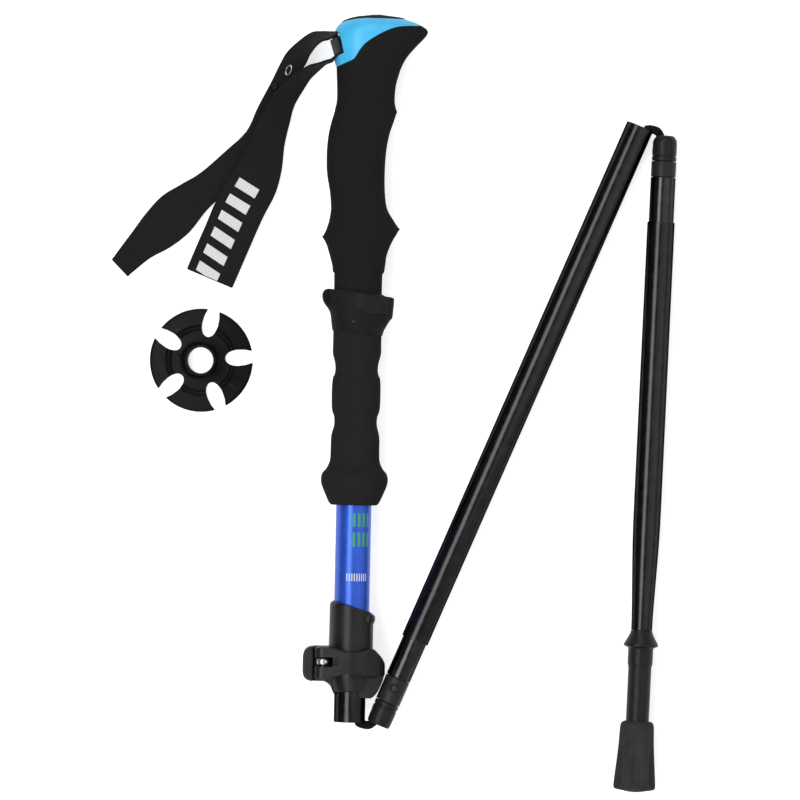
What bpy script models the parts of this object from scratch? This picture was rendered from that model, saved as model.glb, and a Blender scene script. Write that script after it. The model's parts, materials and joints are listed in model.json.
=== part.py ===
"""A folding, telescoping trail running pole, laid flat with its sections half unfolded.

Units are metres. X is to the right of the pole, Y runs up the handle and Z is up from the ground.
Each section is built along its own local Z and turned into place by its parent empty.
In a section's frame local X is across the pole and local -Y faces up, away from the ground.
"""

import math

import bmesh
import bpy
from mathutils import Matrix, Vector

MM = 0.001
CLEAR = 0.3 * MM
SIDES = 24
GRIP_SIDES = 32
CUT_REACH = 20.0 * MM
CUT_FAR = 60.0 * MM
UP = Vector((0.0, 0.0, 1.0))

# Upper tube and inner tube
UPPER_TUBE_R = 9.0 * MM
UPPER_TUBE_WALL = 0.7 * MM
TUBE_INSET = 7.0 * MM
INNER_TUBE_R = 8.0 * MM
INNER_TUBE_WALL = 0.8 * MM
INNER_TUBE_LENGTH = 290.0 * MM
BUSH_HEAD = 9.0 * MM
BUSH_STEM = 16.0 * MM
BUSH_WALL = 1.6 * MM
# Free height over the guide bush when the inner tube is pushed right in
BUSH_ROOM = 14.3 * MM

# Foam sleeves: the lower one from the mouth of the inner tube, the upper one from the lower
LOWER_GRIP_BOTTOM = 110.7 * MM
LOWER_GRIP_R = 12.3 * MM
LOWER_GRIP_GROOVE = 1.3 * MM
BELL_R = 17.1 * MM
BELL_HEIGHT = 123.4 * MM
GROOVES_OVER_BELL = 22.1 * MM
GROOVES_UNDER_TOP = 22.0 * MM
# Each groove's edges and floor, as parts of the grooved length from its top down
GROOVES = ((0.0, 0.13, 0.235, 0.34), (0.65, 0.765, 0.87, 1.0))
UPPER_GRIP_LENGTH = 123.0 * MM
# Each row is height over the lower sleeve, reach to the left, reach to the right, half depth.
UPPER_GRIP_ROWS = (
    (16.0, 12.5, 12.2, 12.3),
    (22.0, 13.4, 13.4, 12.9),
    (28.0, 15.0, 14.1, 13.6),
    (33.0, 16.6, 15.8, 14.5),
    (37.2, 18.8, 17.8, 15.3),
    (41.6, 16.7, 20.4, 15.5),
    (46.0, 15.5, 17.4, 14.3),
    (52.0, 14.8, 13.9, 13.3),
    (60.0, 15.5, 12.6, 13.1),
    (70.0, 17.2, 12.3, 13.5),
    (81.0, 17.5, 12.8, 13.8),
    (90.0, 16.7, 14.3, 13.7),
    (96.0, 15.4, 16.2, 13.6),
    (101.5, 13.9, 17.7, 13.3),
    (107.0, 12.9, 16.7, 13.1),
    (115.0, 13.0, 17.1, 13.3),
)
UPPER_GRIP_END = (13.4, 19.2, 13.6)
UPPER_GRIP_START = (12.2, 12.0, 12.1)

# Head, by height over the grip's top: reach to the left, reach to the right, half depth
HEAD_ROWS = (
    (3.5, 14.4, 20.7, 13.8),
    (7.0, 14.8, 22.8, 14.0),
    (11.3, 15.1, 26.4, 14.2),
    (15.3, 15.1, 30.6, 14.2),
    (18.6, 14.8, 32.8, 13.9),
    (21.4, 13.8, 31.2, 13.0),
    (24.2, 11.0, 27.0, 11.2),
    (26.3, 5.5, 20.5, 7.6),
)
HEAD_TOP = (27.3, 1.5, 14.5, 3.2)
SPIGOT_LENGTH = 20.0 * MM
# The seam between the blue cap and the black head, from the strap side to the beak
SEAM = (
    (-20.0, 0.0),
    (-13.6, 0.9),
    (-9.2, 2.4),
    (-4.6, 4.6),
    (-2.4, 8.0),
    (0.9, 12.3),
    (5.9, 15.9),
    (11.9, 19.2),
    (17.5, 21.2),
    (23.6, 21.8),
    (29.2, 21.1),
    (38.0, 18.5),
)
PAD_CENTRE_X = 4.0 * MM
PAD_HALF = (13.0 * MM, 7.5 * MM)
PAD_FLOOR = 24.6 * MM

# Strap wedge and webbing, also by height over the grip's top
WEDGE = ((-17.0, 17.4), (-13.9, 17.6), (-11.3, 8.6), (-14.9, 7.0))
WEDGE_HALF_DEPTH = 7.2 * MM
WEDGE_EDGE = 0.4 * MM
WEBBING = 1.2 * MM
STRAP_DROP = 1.6 * MM
STRAP_FOLD_STEP = 0.3 * MM
NOTCH_ROOM = 0.35 * MM
RIVET_R = 3.0 * MM
RIVET_HEIGHT = 0.9 * MM

# Storage band
BAND_UNDER_JOINT = 7.0 * MM
BAND_HEIGHT = 18.0 * MM
BAND_WALL = 1.8 * MM
BAND_LEFT_BULGE = 17.8 * MM
BAND_RIGHT_BULGE = 17.6 * MM

# Clamp, by height above the mouth
CLAMP_BOTTOM = 16.3 * MM
CLAMP_SHOULDER = 39.0 * MM
CLAMP_TOP = 61.7 * MM
CLAMP_TOP_DROP = 5.4 * MM
CLAMP_R = 11.35 * MM
CLAMP_FOOT_R = 9.2 * MM
SPLIT_WIDTH = 1.2 * MM
EAR_BOTTOM = 21.2 * MM
EAR_TOP = 38.5 * MM
EAR_REACH = 24.3 * MM
EAR_FRONT = 5.3 * MM
EAR_BACK = 6.0 * MM
EAR_RIM = 9.3 * MM
EAR_RIM_WIDTH = 4.6 * MM
BOLT_X = -14.0 * MM
BOLT_Z = 30.9 * MM
BOLT_R = 1.6 * MM
PIVOT_FRONT = 10.2 * MM
CAM_R = 4.5 * MM
EYE_R = 3.4 * MM
EYE_WIDTH = 4.2 * MM
PIN_R = 1.3 * MM
NUT_R = 3.6 * MM
NUT_HEIGHT = 3.2 * MM
WASHER_R = 3.4 * MM
WASHER_THICK = 0.8 * MM
LEVER_WALL = 2.9 * MM
LEVER_BOTTOM = 22.6 * MM
LEVER_TOP = 38.8 * MM
PIN_INSET = 0.6 * MM
# The lever's finger lip seen along the tube, and the lever's outline seen from the front
LEVER_LIP = ((17.4, 4.4), (17.6, 2.4), (16.2, 1.2), (13.6, 1.9))
LEVER_FACE = (
    (-19.2, 34.6),
    (-16.6, 38.5),
    (-3.0, 38.2),
    (8.0, 38.8),
    (12.6, 37.4),
    (17.0, 32.6),
    (18.6, 28.6),
    (16.6, 23.2),
    (9.0, 24.0),
    (-2.0, 25.2),
    (-9.0, 23.6),
    (-12.0, 22.0),
    (-16.6, 22.0),
    (-19.2, 25.4),
)

# Middle section, by distance from the tip of its plug
MAIN_R = 7.1 * MM
MAIN_WALL = 0.65 * MM
MIDDLE_LENGTH = 333.0 * MM
MIDDLE_PLUG = 47.0 * MM
PLUG_TIP = 12.2 * MM
PLUG_COLLAR = 13.2 * MM
PLUG_R = 6.1 * MM
PLUG_SLOT_HALF = 1.6 * MM
PLUG_SLOT_DEPTH = 6.5 * MM
CABLE_BORE_R = 2.8 * MM
FERRULE_WALL = 0.8 * MM
FERRULE_GRIP = 28.0 * MM
FOLD_A_REST = 22.5
FOLD_A_DROP = 1.0 * MM
MOUTH_STANDOFF = 0.3 * MM

# Lower section, by distance from the top of its plug
LOWER_R = 7.0 * MM
LOWER_PLUG = 44.2 * MM
LOWER_PLUG_TIP = 12.9 * MM
LOWER_PLUG_COLLAR = 7.8 * MM
LOWER_TAPER_FROM = 204.0 * MM
LOWER_TAPER_TO = 246.0 * MM
LOWER_END_R = 5.4 * MM
FLANGE_FROM = 249.9 * MM
FLANGE_TO = 258.3 * MM
FLANGE_R = 8.4 * MM
HOLDER_COLLAR_R = 6.4 * MM
HOLDER_COLLAR_TO = 270.0 * MM
HOLDER_R = 5.9 * MM
HOLDER_END = 318.0 * MM
BOOT_FROM = 297.4 * MM
BOOT_TO = 333.6 * MM
BOOT_TOP_R = 8.7 * MM
BOOT_SOLE_R = 10.7 * MM
BOOT_FLUTES = 8
BOOT_FLUTE_DEPTH = 1.0 * MM
SPIKE_R = 2.2 * MM
SPIKE_LENGTH = 8.0 * MM
LOWER_LEAN = 1.54
FOLD_B_DROP = 1.7 * MM

# Lock button
BUTTON_AT = 20.6 * MM
BUTTON_R = 1.9 * MM
BUTTON_LENGTH = 2.4 * MM
BUTTON_PROUD = 1.6 * MM
BUTTON_FLOOR = 3.25 * MM
BUTTON_SPRING_TURNS = 3

# Cable and its spring
CABLE_R = 1.2 * MM
LINK_R = 1.1 * MM
LINK_DEPTH = 6.0 * MM
LINK_REACH = 5.5 * MM
CRIMP_R = 2.6 * MM
CRIMP_LENGTH = 9.0 * MM
SOCKET_WALL = 0.45 * MM
SOCKET_DEPTH = 50.4 * MM
SOCKET_FLOOR = 9.0 * MM
SPRING_LENGTH = 46.0 * MM
SPRING_TURNS = 8
SPRING_WIRE_R = 0.6 * MM
SPRING_COIL_R = 4.6 * MM
ANCHOR_HEIGHT = 9.0 * MM
CARRIER_CABLE = 78.0 * MM
FIXED_CABLE_FROM = 205.0 * MM

# Basket
BASKET_R = 26.5 * MM
BASKET_THICK = 2.2 * MM
BASKET_HUB_R = 8.2 * MM
BASKET_HUB_HEIGHT = 7.5 * MM
BASKET_STEP_R = 17.3 * MM
BASKET_STEP_RISE = 1.4 * MM
BASKET_SLOTS = 5
BASKET_SLOT_FIRST = 77.0
BASKET_SLOT_HALF = 4.1 * MM
BASKET_SLOT_MOUTH = 3.1 * MM
BASKET_SLOT_INNER = 12.6 * MM
BASKET_X = -79.9 * MM
BASKET_Y = 183.0 * MM

# How the two runs of the strap lie, from the wedge outwards. Each row is x, the height over
# the grip's top, half width, height over the ground, and the twist from lying flat in degrees.
FRONT_RUN = (
    (-25.0, 15.6, 8.2, 16.0, 85.0),
    (-31.5, 10.0, 8.4, 16.0, 56.0),
    (-37.5, 1.0, 9.2, 13.4, 18.0),
    (-43.0, -10.5, 10.4, 8.8, 6.0),
    (-49.0, -24.0, 11.4, 6.3, 0.0),
    (-54.0, -38.0, 11.9, 5.7, 0.0),
    (-58.5, -53.0, 12.5, 5.6, 0.0),
    (-64.0, -69.0, 12.9, 5.6, 0.0),
    (-71.0, -87.0, 13.2, 5.0, 0.0),
    (-76.6, -101.5, 13.3, 3.4, 0.0),
)
BACK_RUN = (
    (-19.6, 4.5, 7.2, 15.9, -90.0),
    (-22.5, 3.4, 7.3, 15.6, -88.0),
    (-26.5, 0.6, 7.4, 7.8, -46.0),
    (-31.0, -3.2, 7.6, 3.4, -8.0),
    (-38.0, -11.0, 8.6, 2.7, -3.0),
    (-47.0, -24.0, 10.0, 2.4, 0.0),
    (-56.0, -36.5, 11.3, 2.35, 0.0),
    (-66.0, -48.5, 12.4, 2.35, 0.0),
    (-78.0, -60.5, 11.8, 2.35, 0.0),
    (-90.5, -70.0, 10.2, 2.35, 0.0),
    (-103.0, -81.0, 8.2, 2.35, 0.0),
    (-115.0, -95.5, 6.6, 2.35, 0.0),
    (-119.5, -102.0, 6.3, 2.35, 0.0),
)


def clear_scene():
    for item in list(bpy.data.objects):
        bpy.data.objects.remove(item, do_unlink=True)


def collection(name):
    made = bpy.data.collections.new(name)
    bpy.context.scene.collection.children.link(made)
    return made


def material(name, colour, roughness, metallic=0.0):
    made = bpy.data.materials.new(name)
    made.use_nodes = True
    shader = made.node_tree.nodes["Principled BSDF"]
    shader.inputs["Base Color"].default_value = (*colour, 1.0)
    shader.inputs["Roughness"].default_value = roughness
    shader.inputs["Metallic"].default_value = metallic
    return made


def empty(name, parent, location, turn=(0.0, 0.0, 0.0)):
    made = bpy.data.objects.new(name, None)
    made.empty_display_size = 0.01
    made.location = location
    made.rotation_euler = turn
    made.parent = parent
    PARTS.objects.link(made)
    return made


def add_mesh(name, mesh, parent, look, group=None):
    made = bpy.data.objects.new(name, mesh)
    made.parent = parent
    if look:
        mesh.materials.append(look)
    (group or PARTS).objects.link(made)
    return made


def shade(mesh):
    mesh.shade_smooth()
    mesh.set_sharp_from_angle(angle=math.radians(35))


def from_bmesh(name, shape, parent, look, group=None):
    mesh = bpy.data.meshes.new(name)
    shape.normal_update()
    shape.to_mesh(mesh)
    shape.free()
    shade(mesh)
    return add_mesh(name, mesh, parent, look, group)


def turned(name, profile, parent, look, sides=SIDES, group=None):
    """Turns a profile of (radius, height) about local Z, listed down its outer side first."""
    shape = bmesh.new()
    spots = [shape.verts.new((r, 0.0, z)) for r, z in profile]
    for a, b in zip(spots, spots[1:]):
        shape.edges.new((a, b))
    if profile[0][0] > 0:
        shape.edges.new((spots[-1], spots[0]))
    made = from_bmesh(name, shape, parent, look, group)
    screw = made.modifiers.new("turn", "SCREW")
    screw.steps = sides
    screw.render_steps = sides
    screw.use_merge_vertices = True
    screw.merge_threshold = 0.00001
    screw.use_smooth_shade = True
    weld = made.modifiers.new("weld", "WELD")
    weld.merge_threshold = 0.00001
    return made


def pipe(name, outer, inner, bottom, top, parent, look, sides=SIDES):
    profile = ((outer, top), (outer, bottom), (inner, bottom), (inner, top))
    return turned(name, profile, parent, look, sides)


def rod(name, radius, bottom, top, parent, look, sides=SIDES):
    profile = ((0.0, top), (radius, top), (radius, bottom), (0.0, bottom))
    return turned(name, profile, parent, look, sides)


def prism(name, outline, low, high, parent, look, group=None):
    """A flat outline of (x, z) pushed along local Y from low to high."""
    shape = bmesh.new()
    near = [shape.verts.new((x, low, z)) for x, z in outline]
    far = [shape.verts.new((x, high, z)) for x, z in outline]
    shape.faces.new(near)
    shape.faces.new(reversed(far))
    count = len(outline)
    for i in range(count):
        j = (i + 1) % count
        shape.faces.new((near[j], near[i], far[i], far[j]))
    bmesh.ops.recalc_face_normals(shape, faces=shape.faces)
    return from_bmesh(name, shape, parent, look, group)


def slab(name, outline, low, high, parent, look, group=None):
    """A flat outline of (x, y) pushed along local Z from low to high."""
    made = prism(name, outline, low, high, parent, look, group)
    made.data.transform(Matrix(((1, 0, 0, 0), (0, 0, 1, 0), (0, 1, 0, 0), (0, 0, 0, 1))))
    made.data.flip_normals()
    return made


def block(name, low, high, parent, look=None, group=None):
    shape = bmesh.new()
    bmesh.ops.create_cube(shape, size=1.0)
    size = [b - a for a, b in zip(low, high)]
    middle = [(a + b) / 2 for a, b in zip(low, high)]
    bmesh.ops.scale(shape, vec=size, verts=shape.verts)
    bmesh.ops.translate(shape, vec=middle, verts=shape.verts)
    return from_bmesh(name, shape, parent, look, group)


def bore_tool(name, radius, start, end, parent, sides=16):
    """A round cutter from one point to another in its parent's frame."""
    start, end = Vector(start), Vector(end)
    shape = bmesh.new()
    length = (end - start).length
    bmesh.ops.create_cone(
        shape, cap_ends=True, segments=sides, radius1=radius, radius2=radius, depth=length
    )
    turn = (end - start).to_track_quat("Z", "Y").to_matrix().to_4x4()
    shape.transform(Matrix.Translation((start + end) / 2) @ turn)
    made = from_bmesh(name, shape, parent, None, CUTTERS)
    return hide(made)


def hide(made):
    made.hide_render = True
    made.display_type = "WIRE"
    return made


def tool(made):
    """Moves a solid to the cutters."""
    for group in list(made.users_collection):
        group.objects.unlink(made)
    CUTTERS.objects.link(made)
    return hide(made)


def combine(made, other, operation):
    change = made.modifiers.new(other.name, "BOOLEAN")
    change.operation = operation
    change.object = other
    change.solver = "EXACT"
    return made


def cut(made, *others):
    for other in others:
        combine(made, other, "DIFFERENCE")
    return made


def ring_of(z, left, right, depth, count=GRIP_SIDES):
    """An egg-shaped section, with its own reach on the left and on the right."""
    spots = []
    for i in range(count):
        turn = 2 * math.pi * i / count
        across = math.cos(turn)
        reach = right if across > 0 else left
        spots.append((reach * across, depth * math.sin(turn), z))
    return spots


def loft(name, rows, parent, look, inner=None, group=None):
    """Joins egg-shaped sections, given from the bottom up in metres; inner makes it a sleeve."""
    shape = bmesh.new()
    rings = [[shape.verts.new(p) for p in ring_of(*row)] for row in rows]
    for low, high in zip(rings, rings[1:]):
        bridge(shape, low, high)
    if inner:
        bore = [ring_of(z, inner, inner, inner) for z in (rows[-1][0], rows[0][0])]
        bore = [[shape.verts.new(p) for p in ring] for ring in bore]
        bridge(shape, rings[-1], bore[0])
        bridge(shape, bore[0], bore[1])
        bridge(shape, bore[1], rings[0])
    else:
        shape.faces.new(reversed(rings[0]))
        shape.faces.new(rings[-1])
    return from_bmesh(name, shape, parent, look, group)


def bridge(shape, low, high):
    count = len(low)
    for i in range(count):
        j = (i + 1) % count
        shape.faces.new((low[i], low[j], high[j], high[i]))


def wire(name, points, radius, parent, look, resolution=2):
    """A round wire through the points, with closed ends."""
    data = bpy.data.curves.new(name, "CURVE")
    data.dimensions = "3D"
    data.bevel_depth = radius
    data.bevel_resolution = resolution
    data.render_resolution_u = 0
    data.use_fill_caps = True
    line = data.splines.new("POLY")
    line.points.add(len(points) - 1)
    for spot, p in zip(line.points, points):
        spot.co = (*p, 1.0)
    data.materials.append(look)
    made = bpy.data.objects.new(name, data)
    made.parent = parent
    PARTS.objects.link(made)
    return made


def smooth_line(points, steps):
    """Points on a smooth curve through the given ones."""
    points = [Vector(p) for p in points]
    padded = [2 * points[0] - points[1], *points, 2 * points[-1] - points[-2]]
    out = []
    for a, b, c, d in zip(padded, padded[1:], padded[2:], padded[3:]):
        for i in range(steps):
            t = i / steps
            square = 2 * a - 5 * b + 4 * c - d
            cube = 3 * b - a - 3 * c + d
            out.append(b + 0.5 * ((c - a) * t + square * t**2 + cube * t**3))
    out.append(points[-1])
    return out


def helix(turns, radius, length, per_turn, start=0.0):
    count = int(turns * per_turn)
    out = []
    for i in range(count + 1):
        turn = 2 * math.pi * i / per_turn
        out.append((radius * math.cos(turn), radius * math.sin(turn), start + length * i / count))
    return out


def in_mm(rows):
    return [tuple(v * MM for v in row) for row in rows]


def raised(rows, base):
    """Rows in metres whose first values are heights over base."""
    return [(base + row[0], *row[1:]) for row in in_mm(rows)]


# Places that follow from the sizes above


def heading(degrees):
    """A direction in the plane of the pole, turned clockwise from straight up the handle."""
    turn = math.radians(degrees)
    return Vector((math.sin(turn), math.cos(turn), 0.0))


def across(degrees):
    turn = math.radians(degrees)
    return Vector((math.cos(turn), -math.sin(turn), 0.0))


def fold_pivot(tip, target, degrees):
    """The point about which a clockwise turn by degrees takes tip to target."""
    turn = Matrix.Rotation(-math.radians(degrees), 2)
    tip = tip.to_2d()
    target = target.to_2d()
    gap = Matrix.Identity(2) - turn
    spot = gap.inverted() @ (target - turn @ tip)
    return Vector((spot.x, spot.y, 0.0))


def beside_mouth(corner, radius, degrees, drop):
    """Where a plug's tip lies so that its tube clears the corner of the mouth beside it."""
    lean = across(degrees)
    room = radius + CLEAR
    x = corner.x + (room + drop * lean.y) / lean.x
    return Vector((x, corner.y - drop, 0.0))


MIDDLE_TIP = beside_mouth(Vector((INNER_TUBE_R, 0.0, 0.0)), PLUG_R, FOLD_A_REST, FOLD_A_DROP)
MIDDLE_WAY = heading(FOLD_A_REST)
MIDDLE_MOUTH = MIDDLE_TIP + MIDDLE_LENGTH * MIDDLE_WAY
FOLD_A_FULL = 180.0 - FOLD_A_REST
PIVOT_A = fold_pivot(MIDDLE_TIP, Vector((0.0, -MOUTH_STANDOFF, 0.0)), FOLD_A_FULL)
MOUTH_CORNER = MIDDLE_MOUTH + MAIN_R * across(FOLD_A_REST)
LOWER_HEADING = 180.0 + LOWER_LEAN
LOWER_TIP = beside_mouth(MOUTH_CORNER, PLUG_R, LOWER_LEAN, FOLD_B_DROP)
LOWER_WAY = heading(LOWER_HEADING)
FOLD_B_FULL = LOWER_HEADING - FOLD_A_REST
PIVOT_B = fold_pivot(LOWER_TIP, MIDDLE_MOUTH + MOUTH_STANDOFF * MIDDLE_WAY, -FOLD_B_FULL)
# The grip's top leaves the pushed-in inner tube its room under the head's spigot
UPPER_GRIP_TOP = INNER_TUBE_LENGTH + BUSH_HEAD + BUSH_ROOM + SPIGOT_LENGTH - CLEAR
UPPER_TUBE_TOP = UPPER_GRIP_TOP - TUBE_INSET
LOWER_GRIP_TOP = UPPER_GRIP_TOP - UPPER_GRIP_LENGTH
BAND_BOTTOM = LOWER_GRIP_TOP - BAND_UNDER_JOINT
BAND_TOP = BAND_BOTTOM + BAND_HEIGHT
WEDGE_MIDDLE = sum((Vector(spot) * MM for spot in WEDGE), Vector((0.0, 0.0))) / len(WEDGE)
# How far the middle plug goes into the mouth it is pushed into
MIDDLE_DEPTH = MIDDLE_PLUG - 2 * CLEAR
MAIN_BORE_R = MAIN_R - MAIN_WALL
FERRULE_R = MAIN_BORE_R - CLEAR
UPPER_BORE_R = UPPER_TUBE_R - UPPER_TUBE_WALL
INNER_BORE_R = INNER_TUBE_R - INNER_TUBE_WALL
SOCKET_R = INNER_BORE_R - CLEAR
SOCKET_BORE_R = SOCKET_R - SOCKET_WALL
GRIP_BORE_R = UPPER_TUBE_R + CLEAR
CLAMP_BORE_R = INNER_TUBE_R + CLEAR
BAND_BORE_R = LOWER_GRIP_R + CLEAR
TUBE_FOOT = CLAMP_SHOULDER + CLEAR


def ground():
    """The height of the pole's plane over the ground as (a, b, c): a + b x + c y.

    The pole rests on the bell, on the boot's rim and on the mouth of the middle section.
    """
    boot = LOWER_TIP + (BOOT_TO - 1.5 * MM) * LOWER_WAY
    rows = Matrix(
        (
            (1.0, 0.0, BELL_HEIGHT),
            (1.0, boot.x, boot.y),
            (1.0, MIDDLE_MOUTH.x, MIDDLE_MOUTH.y),
        )
    )
    return rows.inverted() @ Vector((BELL_R, BOOT_SOLE_R, MAIN_R))


GROUND = ground()


def ground_height(x, y):
    """The ground's height in the pole's own plane, which is below it."""
    return -(GROUND[0] + GROUND[1] * x + GROUND[2] * y)


def root_turn():
    up = Vector((GROUND[1], GROUND[2], 1.0)).normalized()
    return up.rotation_difference(Vector((0.0, 0.0, 1.0)))


# Handle


def make_upper_tube(parent, looks):
    return pipe(
        "upper_tube", UPPER_TUBE_R, UPPER_BORE_R, TUBE_FOOT, UPPER_TUBE_TOP, parent, looks["blue_metal"]
    )


def make_lower_grip(parent, looks):
    r = LOWER_GRIP_R
    deep = r - LOWER_GRIP_GROOVE
    bell = BELL_R
    at = BELL_HEIGHT
    first = LOWER_GRIP_TOP - GROOVES_UNDER_TOP
    span = first - at - GROOVES_OVER_BELL
    profile = [(r - 0.2 * MM, LOWER_GRIP_TOP), (r, LOWER_GRIP_TOP - 10 * MM)]
    for edge, floor, floor_end, edge_end in GROOVES:
        profile += [(r, first - span * edge), (deep, first - span * floor)]
        profile += [(deep, first - span * floor_end), (r, first - span * edge_end)]
    profile += [
        (r + 0.2 * MM, at + GROOVES_OVER_BELL / 2),
        (bell - 2.8 * MM, at + 6.0 * MM),
        (bell - 0.5 * MM, at + 3.0 * MM),
        (bell, at),
        (bell - 0.6 * MM, at - 3.2 * MM),
        (bell - 3.0 * MM, at - 9.4 * MM),
        (bell - 5.4 * MM, LOWER_GRIP_BOTTOM),
        (GRIP_BORE_R, LOWER_GRIP_BOTTOM),
        (GRIP_BORE_R, LOWER_GRIP_TOP),
    ]
    return turned("lower_grip", profile, parent, looks["foam"], GRIP_SIDES)


def make_upper_grip(parent, looks):
    start = LOWER_GRIP_TOP + CLEAR
    rows = [(start, *(v * MM for v in UPPER_GRIP_START))]
    rows += raised(UPPER_GRIP_ROWS, LOWER_GRIP_TOP)
    rows += [(UPPER_GRIP_TOP, *(v * MM for v in UPPER_GRIP_END))]
    return loft("upper_grip", rows, parent, looks["foam"], inner=GRIP_BORE_R)


def head_solid(name, parent, look, group=None):
    rows = [(CLEAR, *(v * MM for v in UPPER_GRIP_END))]
    rows += in_mm(HEAD_ROWS)
    rows += in_mm([HEAD_TOP])
    return loft(name, rows, parent, look, group=group)


def seam_outline(drop, closing_height):
    line = [(x * MM, z * MM - drop) for x, z in SEAM]
    return line + [(line[-1][0], closing_height), (line[0][0], closing_height)]


def pad_outline(grow):
    across_half, deep_half = PAD_HALF
    out = []
    for i in range(24):
        turn = 2 * math.pi * i / 24
        x = PAD_CENTRE_X + (across_half + grow) * math.cos(turn)
        out.append((x, (deep_half + grow) * math.sin(turn)))
    return out


def notch_outline():
    """The wedge's outline grown by the webbing and its room, and open on the strap's side."""
    room = WEBBING + 2 * NOTCH_ROOM
    outer_top, inner_top, inner_foot, outer_foot = in_mm(WEDGE)
    return [
        (-25.0 * MM, outer_top[1] + room),
        (inner_top[0] + room, inner_top[1] + room),
        (inner_foot[0] + room, inner_foot[1] - room * 0.7),
        (outer_foot[0], outer_foot[1] - room),
        (-25.0 * MM, outer_foot[1] - room - 2.0 * MM),
    ]


def make_head(parent, looks):
    """The head in three pieces; its parent stands at the grip's top."""
    deep = CUT_REACH
    high = CUT_FAR
    low = -CUT_FAR
    above = prism("above_seam", seam_outline(CLEAR, high), -deep, deep, parent, None, CUTTERS)
    below = prism("below_seam", seam_outline(0.0, low), -deep, deep, parent, None, CUTTERS)
    notch = prism("notch", notch_outline(), -deep, deep, parent, None, CUTTERS)
    recess = slab("pad_recess", pad_outline(CLEAR), PAD_FLOOR - CLEAR, high, parent, None, CUTTERS)
    inlay = slab("pad_blank", pad_outline(0.0), PAD_FLOOR, high, parent, None, CUTTERS)
    for cutter in (above, below, notch, recess, inlay):
        hide(cutter)
    base = head_solid("head_base", parent, looks["black_plastic"])
    cut(base, above, notch)
    top = 2 * CLEAR
    spigot = tool(rod("spigot", UPPER_BORE_R - CLEAR, top - SPIGOT_LENGTH, top, parent, None))
    combine(base, spigot, "UNION")
    shell = head_solid("head_shell", parent, looks["cap_blue"])
    cut(shell, below, notch, recess)
    pad = head_solid("head_pad", parent, looks["black_rubber"])
    combine(pad, inlay, "INTERSECT")


def make_wedge(parent, looks):
    """The wedge that holds the strap; its parent stands at its middle."""
    outline = [(x - WEDGE_MIDDLE.x, z - WEDGE_MIDDLE.y) for x, z in in_mm(WEDGE)]
    half = WEDGE_HALF_DEPTH
    wedge = prism("strap_wedge", outline, -half, half, parent, looks["black_plastic"])
    edges = wedge.modifiers.new("edges", "BEVEL")
    edges.width = WEDGE_EDGE
    edges.segments = 1


def make_band(parent, looks):
    """A wound band: a sleeve whose outside swells on both sides of the grip."""
    middle = (BAND_BOTTOM + BAND_TOP) / 2
    thin = BAND_BORE_R + BAND_WALL
    rows = (
        (BAND_BOTTOM, BAND_BORE_R + 0.9 * MM, BAND_BORE_R + 1.5 * MM, BAND_BORE_R + 0.9 * MM),
        (BAND_BOTTOM + 3 * MM, thin - 0.3 * MM, BAND_RIGHT_BULGE - 1.2 * MM, thin - 0.3 * MM),
        (middle - 3 * MM, thin, BAND_RIGHT_BULGE, thin),
        (middle + 3 * MM, BAND_LEFT_BULGE - 1.2 * MM, BAND_RIGHT_BULGE + 0.2 * MM, thin),
        (BAND_TOP - 3 * MM, BAND_LEFT_BULGE, BAND_RIGHT_BULGE + 0.4 * MM, thin),
        (BAND_TOP, BAND_LEFT_BULGE - 1.8 * MM, BAND_RIGHT_BULGE - 1.5 * MM, thin - 0.5 * MM),
    )
    return loft("storage_band", rows, parent, looks["black_rubber"], inner=BAND_BORE_R)


# Clamp


def make_clamp(parent, looks):
    profile = (
        (CLAMP_R - 0.6 * MM, CLAMP_TOP),
        (CLAMP_R, CLAMP_TOP - 1.2 * MM),
        (CLAMP_R, EAR_BOTTOM + 1.5 * MM),
        (CLAMP_R - 0.8 * MM, EAR_BOTTOM - 1.5 * MM),
        (CLAMP_FOOT_R, CLAMP_BOTTOM),
        (CLAMP_BORE_R, CLAMP_BOTTOM),
        (CLAMP_BORE_R, CLAMP_SHOULDER),
        (GRIP_BORE_R, CLAMP_SHOULDER),
        (GRIP_BORE_R, CLAMP_TOP),
    )
    body = turned("clamp_body", profile, parent, looks["black_plastic"])
    ears = ear_block(parent)
    combine(body, ears, "UNION")
    far = CUT_REACH
    slant = (
        (-far, CLAMP_TOP + 0.6 * MM),
        (-6.0 * MM, CLAMP_TOP - 1.0 * MM),
        (far, CLAMP_TOP - CLAMP_TOP_DROP - 2.6 * MM),
        (far, CLAMP_TOP + far),
        (-far, CLAMP_TOP + far),
    )
    slant_tool = hide(prism("slant", slant, -far, far, parent, None, CUTTERS))
    half = SPLIT_WIDTH / 2
    low = (-EAR_REACH - far, -half, CLAMP_BOTTOM - far)
    high = (-UPPER_BORE_R + 2.0 * MM, half, EAR_TOP + CLEAR)
    split = block("split", low, high, parent, None, CUTTERS)
    hole = bore_tool("bolt_hole", BOLT_R + CLEAR, (BOLT_X, far, BOLT_Z), (BOLT_X, -far, BOLT_Z), parent)
    cut(body, slant_tool, hide(split), hole)


def ear_block(parent):
    """The two ears as one block, with chamfered corners and a raised rim at its outer edge."""
    chamfer = 3.6 * MM
    edge = -EAR_REACH
    inner = -CLAMP_BORE_R - 1.2 * MM
    outline = [
        (inner, EAR_BOTTOM),
        (edge + chamfer, EAR_BOTTOM),
        (edge, EAR_BOTTOM + chamfer),
        (edge, EAR_TOP - chamfer),
        (edge + chamfer, EAR_TOP),
        (inner, EAR_TOP),
    ]
    ears = prism("ears", outline, -EAR_RIM, EAR_BACK, parent, None, CUTTERS)
    low = (edge + EAR_RIM_WIDTH, -EAR_RIM - CUT_REACH, EAR_BOTTOM - CUT_REACH)
    high = (0.0, -EAR_FRONT, EAR_TOP + CUT_REACH)
    step = block("ear_step", low, high, parent, None, CUTTERS)
    cut(ears, hide(step))
    return hide(ears)


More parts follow.
